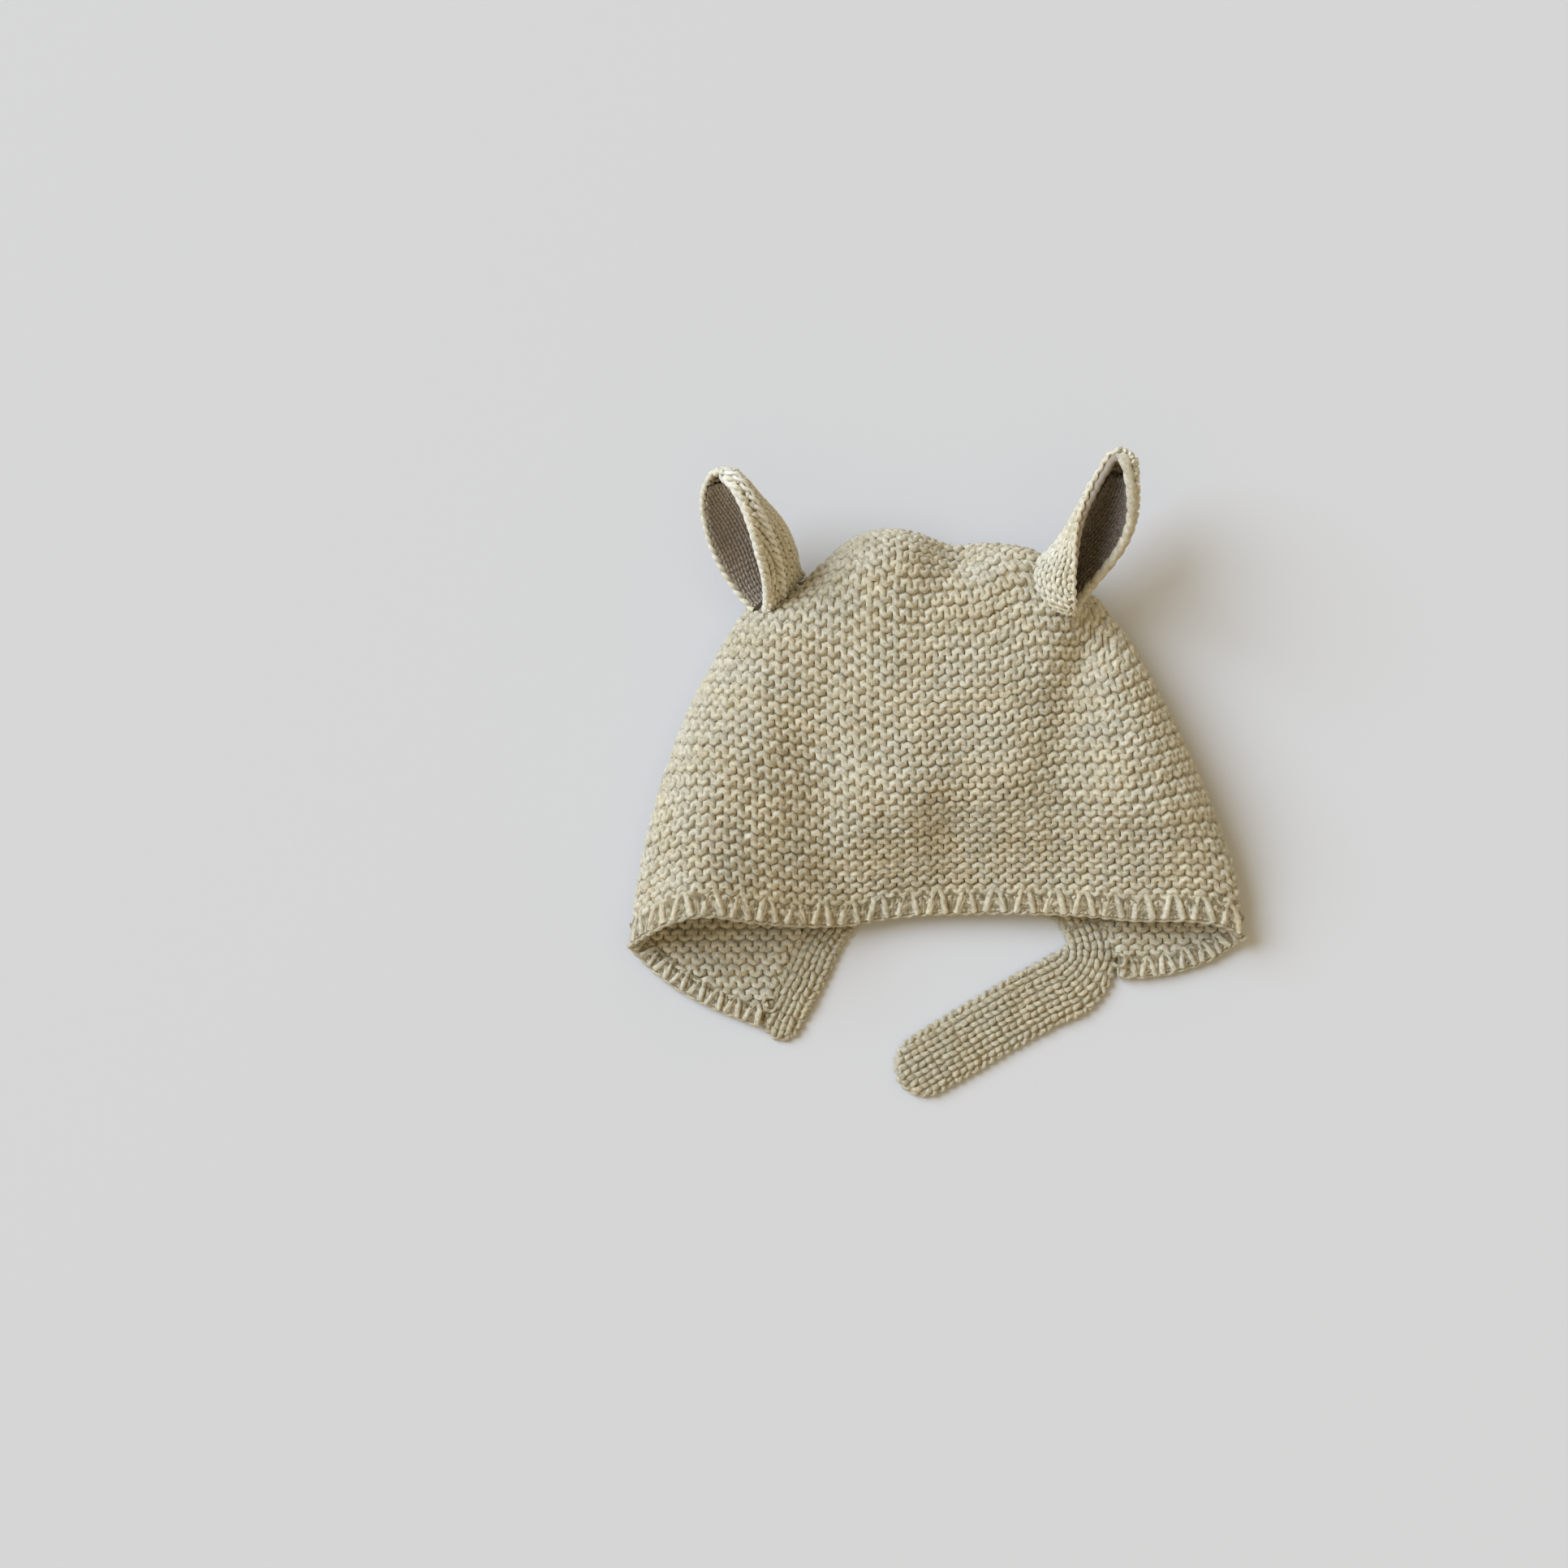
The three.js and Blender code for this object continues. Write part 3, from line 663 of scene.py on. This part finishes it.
# middle line from the left tab to the chin strap
napeRows = {
    "x": [-48.9, -45, -40.6, -36.2, -29, -17, 0, 20, 33, 42, 46.4],
    "y": [-79, -70.5, -61.5, -52.5, -44, -39.6, -38.6, -38.4, -39.2, -42.4, -48.6],
    "half": [6.8, 7.6, 7.8, 7.6, 7.2, 7, 7, 7, 7, 7, 7.2],
}
# middle line from the nape band to the free end
strapRows = {
    "x": [46.2, 48.2, 47.9, 43.2, 33.7, 20.4, 6.3, -3.6],
    "y": [-47.6, -53, -60.1, -66.2, -71.2, -78.7, -87.1, -93],
    "half": [7.2, 7.8, 9.7, 11.3, 11, 10.8, 10.8, 10.5],
}
# nape band and chin strap; height is that of their middle, and a loose loop stands away from each
bandSettings = {
    "nape_band": {
        "rows": napeRows, "roundEnd": "start", "height": 1.8,
        "knit": {"First Stitch": -3, "Stitches": 6, "Courses": 70},
        "loop": {"centre": (-52.6, -73.4), "radius": 2.3, "height": 3, "angles": (60, 330)},
    },
    "chin_strap": {
        "rows": strapRows, "roundEnd": "end", "height": 2.1,
        "knit": {"First Stitch": -4, "Stitches": 8, "Courses": 42},
        "loop": {"centre": (57.2, -59.4), "radius": 2, "height": 5.6, "angles": (-150, 130)},
    },
}
bandKnit = {
    "Course Height": 0.0026, "Loop Height": 0.0013, "Loop Bulge": 0.0002, "Loop Depth": 0.0007,
    "Smooth Face": 1.0, "Least Lift": 0.5, "Yarn Radius": 0.00108, "Taper": 0.35, "Lumps": 0.9,
    "Unevenness": 0.0016, "First Course": -1, "Seed": 5,
}
bandEdgeYarn = {"Floor Height": 0.0009}
looseYarn = {"Turn Radius": 0.0001, "Turn Height": 0.0003, "Yarn Radius": 0.0006}
bandCurl, bandInset, bandGround, loosePoints = 0.9, 1.5, 0.5, 24


# a band as a sheet: rows along its length, one end drawn in to a round end
def bandSheet(
    rows, height, curl, roundEnd, edge=0, spacing=1.2, columns=24, roundRows=9, power=5, least=0.02
):
    table = dict(rows, run=addUp(np.hypot(np.diff(rows["x"]), np.diff(rows["y"]))))
    total = table["run"][-1]
    run = np.linspace(0, total, int(total / spacing))
    x, y, half = (readTable(table, "run", run, key) for key in ("x", "y", "half"))
    half = half - edge
    if roundEnd == "start":
        x, y, half = x[::-1], y[::-1], half[::-1]
    tangent = unit(np.stack([np.gradient(x), np.gradient(y)], axis=-1))
    turn = np.linspace(0, math.pi / 2, roundRows + 1)[1:]
    tip = np.array([x[-1], y[-1]]) + np.outer(np.sin(turn) * half[-1], tangent[-1])
    x, y = np.append(x, tip[:, 0]), np.append(y, tip[:, 1])
    half = np.append(half, half[-1] * np.cos(turn) + least)
    tangent = np.concatenate([tangent, np.repeat(tangent[-1:], len(turn), axis=0)])
    q = np.linspace(-1, 1, columns + 1)
    side = np.stack([-tangent[:, 1], tangent[:, 0]], axis=-1)[:, None]
    plan = np.stack([x, y], axis=-1)[:, None] + side * (q[None] * half[:, None])[..., None]
    z = np.broadcast_to((height - curl * np.abs(q) ** power)[:, None], (*plan.shape[:2], 1))
    tilt = power * curl * np.abs(q) ** (power - 1) * np.sign(q) / half.max()
    points = np.concatenate([plan, z], axis=-1)
    normal = np.concatenate([side * tilt[:, None], np.ones_like(z)], axis=-1)
    u, along = -q[None] * half[:, None], addUp(np.hypot(np.diff(x), np.diff(y)))
    return {"points": points, "normal": normal, "u": u, "v": np.broadcast_to(along[:, None], u.shape)}


# a small loop of yarn that stands away from the edge of a band
def looseLoop(name, s, wool):
    turn = np.radians(np.linspace(*s["angles"], loosePoints))
    plan = np.array(s["centre"]) + s["radius"] * np.stack([np.cos(turn), np.sin(turn)], axis=-1)
    points = np.concatenate([plan, np.full((len(turn), 1), s["height"])], axis=-1)
    return layYarn(name, points, np.tile([0, 0, 1.0], (len(turn), 1)), wool, looseYarn)


# both long sides of a sheet as one line: up the first, down the last
def bothSides(grid):
    return np.concatenate([grid[:, 0], grid[::-1, -1]])


def buildBands():
    wool = wools["strap"]
    for name, s in bandSettings.items():
        sheet = bandSheet(s["rows"], s["height"], bandCurl, s["roundEnd"], bandInset)
        surface = surfaceObject(name + "_surface", [sheet])
        outline, ways = bothSides(sheet["points"]), bothSides(sheet["normal"])
        parts = [
            knit(surface, wool, name + "_loops", bandKnit, s["knit"]),
            layYarn(name + "_edging", outline, ways, wool, bandEdgeYarn),
            groundCloth(name + "_ground", [sheet], bandGround, wool),
            looseLoop(name + "_loose", s["loop"], wool),
        ]
        bpy.data.objects.remove(surface)
        finishPiece(name + "_knit", parts, "strap_knit", name)


# base and tip are the middle between the rims; open is where the cup opens to, bow is how far the ear
# leans out and twist is how many degrees the cup turns over its length; middle is that of its wall
earSettings = {
    "left": {
        "base": (-54.9, 47, 14.5), "tip": (-66.8, 89.4, 46.9), "open": (-0.67, -0.18, 0.61),
        "bow": 2.6, "twist": -4, "reach": (-90, 90), "middle": 1.4,
        "facing": {"reach": (-88, 74), "start": 0.04, "end": 0.88},
        "rows": {
            "along": [0, 0.15, 0.35, 0.55, 0.75, 0.9, 0.97, 1],
            "half": [2, 8, 12.1, 13.2, 12.5, 8.9, 5.2, 0.4],
            "depth": [23, 20.4, 20.6, 17.8, 11.6, 7.4, 4.6, 1.2],
        },
    },
    "right": {
        "base": (39.9, 47.6, 25.5), "tip": (51.7, 95.8, 42.5), "open": (0.5, -0.21, 0.7),
        "bow": 2, "twist": -125, "reach": (-90, 84), "middle": 0.6,
        "facing": {"reach": (-56, 82), "start": 0.12, "end": 0.86},
        "rows": {
            "along": [0, 0.05, 0.15, 0.35, 0.55, 0.75, 0.9, 0.97, 1],
            "half": [1.5, 4.2, 7.6, 9.3, 9.4, 7.5, 5.2, 3.3, 0.4],
            "depth": [6, 13, 17.8, 15.6, 13.9, 11.2, 8.2, 5.4, 1.4],
        },
    },
}
earShape = {
    "untwisted": 0.35,  # where the cup opens exactly as given
    "least": 0.4,  # least half width and depth
    "facingMiddle": 2.4,
    "facingCup": 0.8,  # share of the shell's depth
    "sink": 3,  # how far the ears go on under the cap's outer face
    "clear": 0.88,  # share of the cup that is kept free of the cap's cloth
    "rows": 70, "columns": 60, "rimPoints": 90,
    "rimTurn": 25,  # how far round and down the cup the way out of a rim is taken from
    "rimDepth": 3,
    "ground": 0.4,
}
earKnit = {
    "Stitch Width": 0.004, "Course Height": 0.0029, "Loop Height": 0.0019, "Loop Bulge": 0.0002,
    "Loop Depth": 0.0008, "Smooth Face": 1.0, "Least Lift": 0.2, "Yarn Radius": 0.00082, "Taper": 0.35,
    "Lumps": 0.7, "Unevenness": 0.0007, "First Stitch": -12, "Stitches": 24, "First Course": -1,
    "Courses": 26, "Seed": 9,
}
facingKnit = {
    "Stitch Width": 0.0023, "Course Height": 0.0017, "Loop Height": 0.0011, "Loop Bulge": 0.0001,
    "Loop Depth": 0.0003, "Smooth Face": 1.0, "Least Lift": 0.7, "Yarn Radius": 0.00056, "Taper": 0.3,
    "Points Per Stitch": 8, "Sides": 4, "First Stitch": -15, "Stitches": 30, "First Course": -1,
    "Courses": 38, "Seed": 12,
}
rollYarn = {"Turn Length": 0.0033, "Turn Radius": 0.0003, "Turn Height": 0.0003, "Yarn Radius": 0.0007}
bigRollYarn = {**rollYarn, "Turn Radius": 0.0005, "Yarn Radius": 0.0009}
lipYarn = {"Turn Radius": 0.0001, "Turn Height": 0.0001, "Yarn Radius": 0.0017}
chainYarn = {
    "Turn Length": 0.0062, "Turn Radius": 0.00075, "Turn Height": 0.0005, "Yarn Radius": 0.00066,
    "Strands": 2,
}
farYarn = {
    "Turn Length": 0.009, "Turn Radius": 0.0005, "Turn Height": 0.0004, "Yarn Radius": 0.0014,
    "Unevenness": 0.0006, "Strands": 2,
}
# yarn along the rims: angles round the cup, how far inwards, its shape and its wool
earEdges = {
    "left": (
        ((-90, 90), 0, bigRollYarn, "ear"),
        ((86,), 1.2, lipYarn, "pale"),
        ((72,), -1, chainYarn, "pale"),
    ),
    "right": (
        ((-90,), 0, rollYarn, "ear"),
        # the right ear's lip is in brown rather than pale wool, as painted shade
        ((-85,), 1.4, {**lipYarn, "Yarn Radius": 0.0012}, "brown"),
        ((87,), 0.9, farYarn, "cream"),
    ),
}


def turned(vector, axis, angle):
    c, s = np.cos(angle)[..., None], np.sin(angle)[..., None]
    return vector * c + np.cross(axis, vector) * s + axis * np.dot(axis, vector) * (1 - c)


# middle line of an ear layer, its ways across and into the opening, and its half width and depth
def earFrame(ear, along, depth, cupShare=1.0):
    base, tip = np.array(ear["base"]), np.array(ear["tip"])
    axis = tip - base
    length = np.linalg.norm(axis)
    axis /= length
    opened = np.array(ear["open"])
    opened -= axis * np.dot(opened, axis)
    opened /= np.linalg.norm(opened)
    facing = turned(opened, axis, np.radians(ear["twist"]) * (along - earShape["untwisted"]))
    across = np.cross(axis, facing)
    half, cup = (readTable(ear["rows"], "along", along, key) - depth for key in ("half", "depth"))
    half, cup = np.maximum(half, earShape["least"]), np.maximum(cup, earShape["least"]) * cupShare
    outwards = np.array([np.sign(ear["open"][0]), 0, 0])
    line = base + np.outer(along * (length - depth), axis)
    return line + np.outer(ear["bow"] * np.sin(math.pi * along), outwards), across, facing, half, cup


# grid of points of one ear layer; along runs from the base to the tip, angle round the cup in degrees
def earPoints(ear, along, angle, depth, cupShare=1.0):
    line, across, facing, half, cup = earFrame(ear, along, depth, cupShare)
    turn = np.radians(angle)
    sideways = across[:, None] * np.outer(half, np.sin(turn))[..., None]
    return line[:, None] + sideways - facing[:, None] * np.outer(cup, np.cos(turn))[..., None]


# whether each point lies in the cup of an ear
def inEar(points):
    flat = points.reshape(-1, 3)
    result = np.zeros(len(flat), bool)
    for ear in earSettings.values():
        base, tip = np.array(ear["base"]), np.array(ear["tip"])
        along = (flat - base) @ (tip - base) / np.sum((tip - base) ** 2)
        line, across, facing, half, cup = earFrame(ear, np.clip(along, 0, 1), 0)
        sideways = np.sum((flat - line) * across, axis=1) / half
        inwards = -np.sum((flat - line) * facing, axis=1) / cup
        near = np.hypot(sideways, inwards) < earShape["clear"]
        result |= (along > 0) & (along < 1) & (inwards > 0) & near
    return result.reshape(points.shape[:-1])


# whether each point is well under the cap's outer face
def isSunk(points):
    x, y = points[..., 0], points[..., 1]
    across = (x - middleAt(y)) / halfAt(y)
    within = np.clip(across, -1, 1)
    top = panelPoint("front", within, y, 0)[..., 2]
    onCap = (np.abs(across) < 1) & (y < crownAt(within))
    return onCap & (points[..., 2] < top - earShape["sink"])


# one layer of an ear as a sheet; outSign is -1 where it faces into the cup
def earSheet(ear, depth, reach, outSign, start=0.0, end=1.0, cupShare=1.0):
    rows, columns = earShape["rows"], earShape["columns"]
    along = start + (end - start) * np.sin(np.linspace(0, math.pi / 2, rows + 1))
    points = earPoints(ear, along, np.linspace(*reach, columns + 1), depth, cupShare)
    normal = gridNormals(points)
    middle = points.mean(axis=1, keepdims=True)
    normal *= outSign * np.sign(np.sum((points - middle) * normal))
    u = addUp(np.linalg.norm(np.diff(points, axis=1), axis=-1).T).T
    u -= u[:, columns // 2 : columns // 2 + 1]
    spine = addUp(np.linalg.norm(np.diff(points[:, columns // 2], axis=0), axis=-1))
    v = np.broadcast_to(spine[:, None], u.shape)
    return {"points": points, "normal": normal, "u": u, "v": v, "hidden": isSunk(points)}


# line along the rim at one angle round the cup, or up at one and down at the other, with the ways outwards
def earRim(ear, angles, inwards):
    along = np.sin(np.linspace(0, math.pi / 2, earShape["rimPoints"]))
    angles = np.array(angles)
    depth = ear["middle"] + inwards
    rims = earPoints(ear, along, angles, depth)
    turn = earShape["rimTurn"] * np.sign(angles)
    behind = earPoints(ear, along, angles - turn, depth + earShape["rimDepth"])
    path, back = (bothSides(grid)[: len(along) * len(angles)] for grid in (rims, behind))
    seen = ~isSunk(path)
    return path[seen], (path - back)[seen]


def buildEars():
    for side, ear in earSettings.items():
        place, cup = ear["facing"], earShape["facingCup"]
        shell = earSheet(ear, ear["middle"], ear["reach"], 1)
        facing = earSheet(
            ear, earShape["facingMiddle"], place["reach"], -1, place["start"], place["end"], cup
        )
        # the same brown facing yarn: painted lighter for the left ear as painted light, darker for the
        # right ear as painted shade
        brown = wools["brown" if side == "left" else "shaded_brown"]
        for part, sheet, settings, wool, slotName in (
            ("shell", shell, earKnit, wools["ear"], "ear_knit"),
            ("facing", facing, facingKnit, brown, "facing_knit"),
        ):
            name = "ear_%s_%s" % (side, part)
            surface = surfaceObject(name + "_surface", [sheet])
            parts = [knit(surface, wool, name + "_loops", settings, {})]
            parts.append(groundCloth(name + "_ground", [sheet], earShape["ground"], wool))
            for angles, inwards, yarn, kind in earEdges[side] if part == "shell" else ():
                parts.append(layYarn(name + "_rim", *earRim(ear, angles, inwards), wools[kind], yarn))
            bpy.data.objects.remove(surface)
            finishPiece(name + "_knit", parts, slotName, name)


hemSettings = {
    "edge": 1.6,  # how far inside the cap's edge the ribs start
    "flapEdge": 1.2,
    "flapDepth": 7.5,
    "flapScale": 0.75,
    "under": 1.8,  # how far the ribs go on under the garter stitch
    "cover": 0.5,  # share of the ribbing's depth that shows below the garter stitch
    "raise": 1.3,  # how far the ribs stand out of the cloth
    "settle": 0.4,  # how far they settle back where the garter stitch starts
    "settleFrom": 2,
    "settleRun": 3,
    "tuck": 0.7,  # how far the yarn along the edge lies behind the ribs
    "ground": 0.5,
    "rows": 14, "flapRows": 8, "flapColumns": 60,
}
ribKnit = {
    "Stitch Width": 0.0088, "Smooth Face": 1.0, "Lumps": 1.0, "First Stitch": -14, "Stitches": 28,
    "First Course": 1, "Courses": 1, "Seed": 3,
}
# strands across one rib, as shares of the ribbing's depth: how high the middle is and how far it swings
ribStrands = {
    "turns": (1, 1, 1, 4),
    "points": (28, 28, 28, 12),
    "bulge": (0.26, 0.26, 0.2, 0),
    "middle": (0.5, 0.36, 0.22, 0.4),
    "swing": (0.47, 0.32, 0.17, 0.36),
    "radius": (1.05, 0.95, 0.85, 0.75),
    "out": (0.4, 0.2, 0, -0.45),
    # lift and wool darken the strands that lie deeper in the rib, as painted shade
    "lift": (0.4, 0.3, 0.2, 0),
    "stray": (1.4, 1.4, 1.4, 0.7),
    "wool": ("cream", "cream", "hem", "hem"),
}
hemYarn = {"Turn Length": 0.0044, "Turn Radius": 0.0002, "Turn Height": 0.0002, "Unevenness": 0.0005}


# strip of ribbing along the front hem; v is 0 at the free edge
def frontHem(front):
    s, depth = hemSettings, capSettings["ribDepth"]
    across = front["across"][0]
    v = np.linspace(s["edge"], depth + s["under"], s["rows"])[:, None]
    y = hemAt(across)[None] + v
    u, normal = (readColumns(front["y"][:, 0], front[key], y) for key in ("u", "normal"))
    settled = easeInOut((v - depth + s["settleFrom"]) / s["settleRun"])
    inset = capSettings["wall"] / 2 - s["raise"] + s["settle"] * settled
    points = panelPoint("front", across[None], y, inset)
    return {"points": points, "normal": normal, "u": u, "v": np.broadcast_to(v, u.shape)}


# strip of ribbing along a flap's outer edge, seen from inside the cap
def flapHem(edge, depth):
    edge = np.array(edge, float)
    run = addUp(np.linalg.norm(np.diff(edge, axis=0), axis=1))
    table = {"run": run, "x": edge[:, 0], "y": edge[:, 1]}
    at = np.linspace(0, run[-1], hemSettings["flapColumns"])
    x, y = readTable(table, "run", at, "x"), readTable(table, "run", at, "y")
    tangent = unit(np.stack([np.gradient(x), np.gradient(y)], axis=-1))
    inwards = np.stack([-tangent[:, 1], tangent[:, 0]], axis=-1) * np.sign(edge[-1, 0] - edge[0, 0])
    v = np.linspace(hemSettings["flapEdge"], depth, hemSettings["flapRows"])
    plan = np.stack([x, y], axis=-1)[None] + inwards[None] * v[:, None, None]
    across = np.clip((plan[..., 0] - middleAt(plan[..., 1])) / halfAt(plan[..., 1]), -1, 1)
    z = panelPoint("back", across, plan[..., 1], capSettings["wall"] / 2)[..., 2:] + hemSettings["raise"]
    points = np.concatenate([plan, z], axis=-1)
    normal = gridNormals(points)
    normal *= np.sign(normal[..., 2:])
    u, v = np.broadcast_arrays(at[None], v[:, None])
    return {"points": points, "normal": normal, "u": u, "v": v}


def buildHem(front):
    flapDepth, flapScale = hemSettings["flapDepth"], hemSettings["flapScale"]
    strips = [(frontHem(front), capSettings["ribDepth"], 1.0)]
    strips += [(flapHem(edge, flapDepth), flapDepth, flapScale) for edge in (leftFlapEdge, rightFlapEdge)]
    parts = []
    for sheet, depth, scale in strips:
        surface = surfaceObject("hem_surface", [sheet])
        for number, values in enumerate(zip(*ribStrands.values())):
            strand = dict(zip(ribStrands, values))
            settings = {
                "Stitch Width": ribKnit["Stitch Width"] * scale / strand["turns"],
                "First Stitch": ribKnit["First Stitch"] * strand["turns"],
                "Stitches": ribKnit["Stitches"] * strand["turns"],
                "Points Per Stitch": strand["points"],
                "Unevenness": strand["stray"] * mm,
                "Loop Bulge": strand["bulge"] * scale * mm,
                "Course Height": strand["middle"] * depth * mm,
                "Loop Height": strand["swing"] * depth * mm,
                "Loop Depth": strand["out"] * mm,
                "Yarn Radius": strand["radius"] * (0.5 + scale / 2) * mm,
                "Least Lift": strand["lift"],
                "Seed": ribKnit["Seed"] + number,
            }
            parts.append(knit(surface, wools[strand["wool"]], "hem_loops", ribKnit, settings))
        edge, ways = sheet["points"][0], sheet["normal"][0]
        # the edge yarn, tucked behind the ribs, is in the darker hem wool as painted shade
        parts.append(layYarn("hem_edging", edge - hemSettings["tuck"] * ways, ways, wools["hem"], hemYarn))
        # the ground between the ribs is in the darker wool, as painted shade
        parts.append(groundCloth("hem_ground", [sheet], hemSettings["ground"], wools["painted_shade"]))
        bpy.data.objects.remove(surface)
    finishPiece("hem_ribs", parts, "ribbed_hem", "hem_band")


garterKnit = {
    "Loop Height": 0.0021, "Loop Bulge": 0.0006, "Loop Depth": 0.0008, "Least Lift": 0.5,
    "Yarn Radius": 0.00118, "Taper": 0.1, "Lumps": 0.6, "Unevenness": 0.0011,
}
# first course and number of courses of each piece of the cap
garterPieces = {"garter_lower": (-37, 48), "garter_middle": (11, 20), "garter_upper": (31, 45)}
garterGround, edgeRows = 0.4, 1200
seamYarn = {"Turn Length": 0.0042, "Turn Radius": 0.0008, "Turn Height": 0.0007}


# outline of the back cloth in plan, without the ribbing, the nape band and the strap
def backOutline():
    inner = []
    for edge in (leftFlapEdge, rightFlapEdge):
        strip = flapHem(edge, hemSettings["flapDepth"] * hemSettings["cover"])
        inner.append(strip["points"][-1, ::4, :2].tolist())
    upper = bandSheet(napeRows, 0, 0, "start")["points"][::-1, 0, :2].tolist()
    side, top = 130, 120  # well outside the cap, so that only its lower edge counts
    around = (side, inner[1][0][1]), (side, top), (-side, top)
    return [(-side, inner[0][0][1]), *inner[0], *upper, *inner[1][::-1], *around]


# lowest line of the back cloth for each column of a sheet
def lowestLine(sheet, outline):
    line = sheet["y"][:, 0]
    fine = np.linspace(line[0], line[-1], edgeRows)
    low = []
    for across in sheet["across"][0]:
        covered = insideOutline(middleAt(fine) + halfAt(fine) * across, fine, outline)
        out = np.nonzero(~covered & (fine < 0))[0]
        low.append(fine[out[-1]] if len(out) else line[0])
    return np.array(low)


def buildCap():
    wool, inset = wools["cream"], capSettings["wall"] / 2
    front, leftBack, rightBack = capSheets()
    outline = backOutline()
    sheets, ground = [], []
    for sheet in (front, leftBack, rightBack):
        across = sheet["across"][0]
        top = crownAt(across) - inset
        low = hemAt(across) + hemSettings["cover"] * capSettings["ribDepth"]
        if sheet is not front:
            low = lowestLine(sheet, outline)
        sheets.append(trimSheet(sheet, low, top))
        sheets[-1]["hidden"] = inEar(sheets[-1]["points"])
        ground.append(trimSheet(sheet, low, top, 4))
    surface = surfaceObject("cap_surface", sheets)
    made = {
        name: [knit(surface, wool, name, garterKnit, {"First Course": start, "Courses": count})]
        for name, (start, count) in garterPieces.items()
    }
    bpy.data.objects.remove(surface)
    made["garter_middle"].append(groundCloth("cap_ground", ground, garterGround, wool))
    across = front["across"][0]
    crown = crownAt(across)
    x = middleAt(crown) + (halfAt(crown) - inset) * across
    seam = np.stack([x, crown - inset, foldAt(crown)], axis=-1)
    ways = np.tile([0, 1.0, 0], (len(seam), 1))
    made["garter_upper"].append(layYarn("seam", seam, ways, wool, seamYarn))
    for name, parts in made.items():
        finishPiece(name, parts, "garter_knit", "crown_front", "crown_back")
    return front


stageSettings = {
    "camera": (-0.0477, -0.0003, 0.65),
    "lens": 47,
    "clip": (0.01, 20),
    "floorSize": 6,
    "floor": (0.655, 0.655, 0.655, 1),
    "floorRoughness": 0.8,
    "backdrop": (0.66, 0.66, 0.66, 1),
    "sunFrom": (-48, 26, 42), "sunColour": (1, 1.19, 1.507), "sunStrength": 2.4, "sunAngle": 40,
    "skyColour": (1, 0.84, 0.57, 1), "skyStrength": 0.55,
}


def buildStage():
    s = stageSettings
    scene = bpy.context.scene
    camera = addObject("camera", bpy.data.cameras.new("camera"))
    camera.data.lens = s["lens"]
    camera.data.clip_start, camera.data.clip_end = s["clip"]
    camera.location = s["camera"]
    scene.camera = camera
    bpy.ops.mesh.primitive_plane_add(size=s["floorSize"])
    floor = bpy.context.object
    floor.name = "floor"
    material = bpy.data.materials.new("pale_floor")
    material.use_nodes = True
    shader = material.node_tree.nodes["Principled BSDF"]
    shader.inputs["Base Color"].default_value = s["floor"]
    shader.inputs["Roughness"].default_value = s["floorRoughness"]
    floor.data.materials.append(material)
    sun = addObject("key", bpy.data.lights.new("key", "SUN"))
    sun.data.angle = math.radians(s["sunAngle"])
    sun.data.energy = s["sunStrength"]
    sun.data.color = s["sunColour"]
    sun.rotation_euler = Vector(s["sunFrom"]).to_track_quat("Z", "Y").to_euler()
    # warm light from all round, behind a plain pale backdrop
    world = bpy.data.worlds.new("studio")
    world.use_nodes = True
    tree = world.node_tree
    sky = tree.nodes["Background"]
    sky.inputs["Color"].default_value = s["skyColour"]
    sky.inputs["Strength"].default_value = s["skyStrength"]
    backdrop = tree.nodes.new("ShaderNodeBackground")
    backdrop.inputs["Color"].default_value = s["backdrop"]
    seen = tree.nodes.new("ShaderNodeLightPath").outputs["Is Camera Ray"]
    mix = tree.nodes.new("ShaderNodeMixShader")
    for source, socket in zip((seen, sky.outputs[0], backdrop.outputs[0]), mix.inputs):
        tree.links.new(source, socket)
    tree.links.new(mix.outputs[0], tree.nodes["World Output"].inputs[0])
    scene.world = world
    scene.view_settings.view_transform = "Standard"


buildStage()
print("stage ready")
knitting, edging = knittingTree(), edgingTree()
wools = {
    kind: woolMaterial(kind + "_wool", {**creamWool, **changes}) for kind, changes in woolChanges.items()
}
front = buildCap()
print("cap knitted")
buildHem(front)
buildBands()
print("hem and bands knitted")
buildEars()
print("ears knitted")
